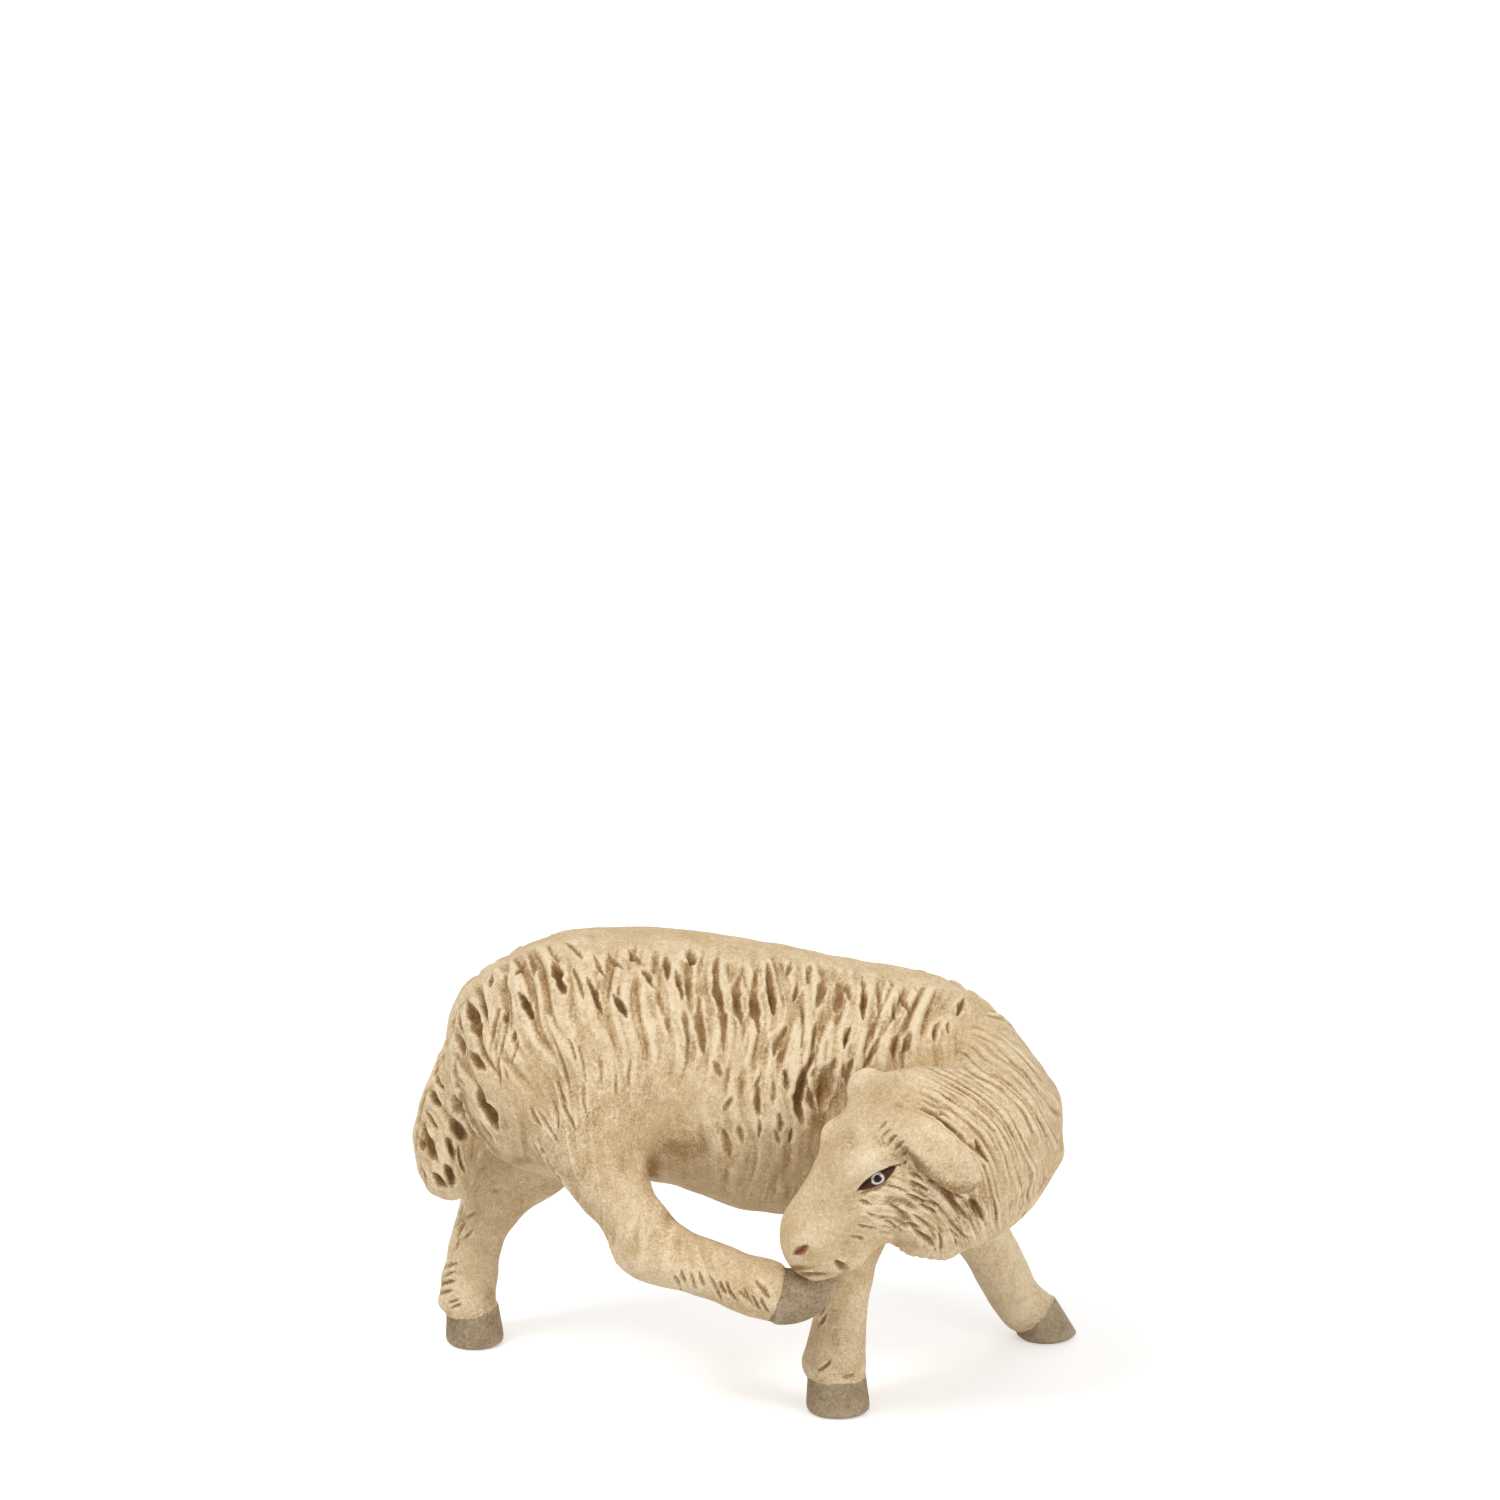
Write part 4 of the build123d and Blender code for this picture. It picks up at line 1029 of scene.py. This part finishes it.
# %% The painted finishes
def finish(title, with_face=False, with_hoof=False):
    material = bpy.data.materials.new(title)
    material.use_nodes = True
    tree = material.node_tree
    shader = tree.nodes["Principled BSDF"]
    place = joined(tree, "ShaderNodeTexCoord").outputs["Object"]
    lines = joined(tree, "ShaderNodeGroup", node_tree=strand_group).outputs["Lines"]
    cloudy = ramp(tree, speckle(tree, place, 150, 4.0, 0.6), 0.30, 0.70)
    # Paler where the skin is raised and where the paint is cloudy, and on the far front leg as painted light.
    wiped_and_painted_light = sum_of(tree, "MULTIPLY_ADD", stored(tree, "raised"), 0.8, sum_of(tree, "MULTIPLY", cloudy, 0.45))
    for per_metre, share in ((2300, 1.6), (4600, 1.1), (900, 0.8), (330, 0.25)):
        dapple = sum_of(tree, "SUBTRACT", speckle(tree, place, per_metre, 3.0, 0.6), 0.5)
        wiped_and_painted_light = sum_of(tree, "MULTIPLY_ADD", dapple, share, wiped_and_painted_light)
    wiped_and_painted_light = sum_of(tree, "MULTIPLY_ADD", lines, 0.5, wiped_and_painted_light, clamp=True)

    def washed_and_shaded(pale, warm, brown, dark):
        group = joined(tree, "ShaderNodeGroup", node_tree=wash_and_shade_group)
        for name, value in (("Base", blend(tree, wiped_and_painted_light, warm, pale)), ("Amount", stored(tree, "wash")), ("Lines", lines)):
            tree.links.new(value, group.inputs[name])
        group.inputs["Brown"].default_value = brown
        group.inputs["Dark"].default_value = dark
        return group

    wool = washed_and_shaded(ECRU, ECRU_WARM, WASH_AND_SHADE_BROWN, WASH_AND_SHADE_DARK)
    colour = wool.outputs["Color"]
    if with_face:
        face = joined(tree, "ShaderNodeGroup", node_tree=face_group)
        tree.links.new(colour, face.inputs["Base"])
        colour = face.outputs["Color"]
    if with_hoof:
        # The hoof browns also paint the painted shadow where the muzzle rests on the raised hoof.
        horn = washed_and_shaded(HOOF_GREY, HOOF_DARK, shade(104, 88, 66), shade(76, 62, 44))
        edge = sum_of(tree, "MULTIPLY_ADD", sum_of(tree, "SUBTRACT", speckle(tree, place, 900), 0.5), 0.8, stored(tree, "hoof"))
        colour = blend(tree, ramp(tree, edge, -0.07, 0.07), colour, horn.outputs["Color"])
    tree.links.new(colour, shader.inputs["Base Color"])
    bump = joined(tree, "ShaderNodeBump", {"Height": wool.outputs["Height"], "Strength": 0.5, "Distance": 0.15 * MM})
    tree.links.new(bump.outputs["Normal"], shader.inputs["Normal"])
    shader.inputs["Roughness"].default_value = 0.78
    shader.inputs["Specular IOR Level"].default_value = 0.3
    return material


wool_paint = finish("ecru wool paint", with_hoof=True)
face_paint = finish("ecru face paint", with_face=True)
hoof_paint = finish("grey hoof paint", with_hoof=True)
print("finishes", wool_paint.name, face_paint.name, hoof_paint.name)

# %% Drawn wire
wire_metal = bpy.data.materials.new("drawn steel wire")
wire_metal.use_nodes = True
tree = wire_metal.node_tree
shader = tree.nodes["Principled BSDF"]
shader.inputs["Metallic"].default_value = 1.0
place = joined(tree, "ShaderNodeTexCoord").outputs["Object"]
dull = speckle(tree, place, 900)
tree.links.new(blend(tree, dull, shade(120, 118, 114), shade(176, 173, 168)), shader.inputs["Base Color"])
tree.links.new(ramp(tree, dull, 0.1, 1.6), shader.inputs["Roughness"])
for name in WIRES:
    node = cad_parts[name]
    node.data.materials.clear()
    node.data.materials.append(wire_metal)
print("wires", len(WIRES))

# %% [markdown]
# ## Into pieces again
# The carved skin is separated along the borders of the CAD pieces. Each cut
# end is closed with a fan of triangles, and each piece keeps the skin's own
# outward directions, so no seam shows where two pieces meet.

# %% Separate by piece
FACE_NODES = ("head", "left_ear", "right_ear")
for name in SKIN_NODES:
    skin.data.materials.append(bpy.data.materials.new("border " + name))
skin.data.polygons.foreach_set("material_index", piece_of_face.astype(np.int32))
skin.data.polygons.foreach_set("use_smooth", np.ones(len(skin.data.polygons), bool))
pick(skin)
bpy.ops.object.mode_set(mode="EDIT")
bpy.ops.mesh.select_all(action="SELECT")
bpy.ops.mesh.separate(type="MATERIAL")
bpy.ops.object.mode_set(mode="OBJECT")
parts = sorted(bpy.context.selected_objects, key=lambda part: part.name)
print("separated into", len(parts))

# %% Close each piece
def close_ends(piece):
    """Fill every open border with a fan to its middle."""
    shape = bmesh.new()
    shape.from_mesh(piece.data)
    open_edges = {edge for edge in shape.edges if edge.is_boundary}
    fans = 0
    while open_edges:
        edge = open_edges.pop()
        rim, waiting = [edge], list(edge.verts)
        while waiting:
            vertex = waiting.pop()
            for other in vertex.link_edges:
                if other in open_edges:
                    open_edges.discard(other)
                    rim.append(other)
                    waiting.append(other.other_vert(vertex))
        corners = {vertex for rim_edge in rim for vertex in rim_edge.verts}
        hub = shape.verts.new(sum((vertex.co for vertex in corners), Vector()) / len(corners))
        for rim_edge in rim:
            loop = rim_edge.link_loops[0]
            fan = shape.faces.new((loop.link_loop_next.vert, loop.vert, hub))
            fan.smooth = False
            fans += 1
    shape.to_mesh(piece.data)
    shape.free()
    return fans


for part in parts:
    name = part.data.materials[part.data.polygons[0].material_index].name.removeprefix("border ")
    kind = "hoof" if name in HOOVES else "face" if name in FACE_NODES else "wool"
    part.data.materials.clear()
    part.data.materials.append({"hoof": hoof_paint, "face": face_paint, "wool": wool_paint}[kind])
    part.data.polygons.foreach_set("material_index", np.zeros(len(part.data.polygons), np.int32))
    part.name = "carved_" + name
    part.data.name = part.name
    fans = close_ends(part)
    flat = np.empty(len(part.data.vertices) * 3, np.float32)
    part.data.attributes["skin_outward"].data.foreach_get("vector", flat)
    directions = flat.reshape(-1, 3)
    corner_vertex = np.empty(len(part.data.loops), np.int32)
    part.data.loops.foreach_get("vertex_index", corner_vertex)
    corner_directions = directions[corner_vertex]
    is_fan = ~np.array([polygon.use_smooth for polygon in part.data.polygons])
    totals = np.empty(len(part.data.polygons), np.int32)
    part.data.polygons.foreach_get("loop_total", totals)
    corner_directions[np.repeat(is_fan, totals)] = 0
    part.data.normals_split_custom_set(corner_directions.tolist())
    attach(part, "root")
    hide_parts(name)
    print(part.name, len(part.data.polygons), "faces,", fans, "of them close its ends")

# %% [markdown]
# ## The studio
# A pale floor and soft lamps: a large one from the upper left in front, a wide
# weak one from the right, and a white surround. The floor is white to the
# camera where it is lit and keeps the sheep's shadow.

# %% Floor
bpy.ops.object.select_all(action="DESELECT")
bpy.ops.mesh.primitive_plane_add(size=8, location=(0, 0, 0))
floor = bpy.context.object
floor.name = "studio_floor"
floor_white = bpy.data.materials.new("studio white")
floor_white.use_nodes = True
tree = floor_white.node_tree
shader = tree.nodes["Principled BSDF"]
shader.inputs["Base Color"].default_value = (0.82, 0.82, 0.82, 1)
shader.inputs["Roughness"].default_value = 0.9
path = joined(tree, "ShaderNodeLightPath")
direct_view = sum_of(tree, "ADD", path.outputs["Is Camera Ray"],
                     sum_of(tree, "ADD", path.outputs["Is Glossy Ray"], path.outputs["Is Transmission Ray"]), clamp=True)
glow = joined(tree, "ShaderNodeEmission", {"Strength": sum_of(tree, "MULTIPLY", direct_view, 0.45)})
both = tree.nodes.new("ShaderNodeAddShader")
tree.links.new(shader.outputs[0], both.inputs[0])
tree.links.new(glow.outputs[0], both.inputs[1])
tree.links.new(both.outputs[0], tree.nodes["Material Output"].inputs["Surface"])
floor.data.materials.append(floor_white)

# %% Lamps and surround
def lamp(title, place, size, power):
    data = bpy.data.lights.new(title, "AREA")
    data.size = size
    data.energy = power
    thing = bpy.data.objects.new(title, data)
    thing.location = place
    thing.rotation_euler = (Vector((0, 0, 0.024)) - Vector(place)).to_track_quat("-Z", "Y").to_euler()
    bpy.context.collection.objects.link(thing)


lamp("key lamp", (-0.50, -0.48, 1.05), 0.4, 7.6)
lamp("fill lamp", (0.85, -0.80, 0.32), 0.7, 5.0)
lamp("back lamp", (0.1, 0.9, 0.8), 0.7, 2.0)
world = bpy.data.worlds.new("studio surround")
bpy.context.scene.world = world
world.use_nodes = True
tree = world.node_tree
sky = tree.nodes["Background"]
sky.inputs["Color"].default_value = (1, 1, 1, 1)
path = joined(tree, "ShaderNodeLightPath")
direct_view = sum_of(tree, "ADD", path.outputs["Is Camera Ray"],
                     sum_of(tree, "ADD", path.outputs["Is Glossy Ray"], path.outputs["Is Transmission Ray"]), clamp=True)
tree.links.new(sum_of(tree, "MAXIMUM", direct_view, 0.48), sky.inputs["Strength"])
bpy.context.scene.view_settings.view_transform = "Standard"
print("lamps", len(bpy.data.lights))
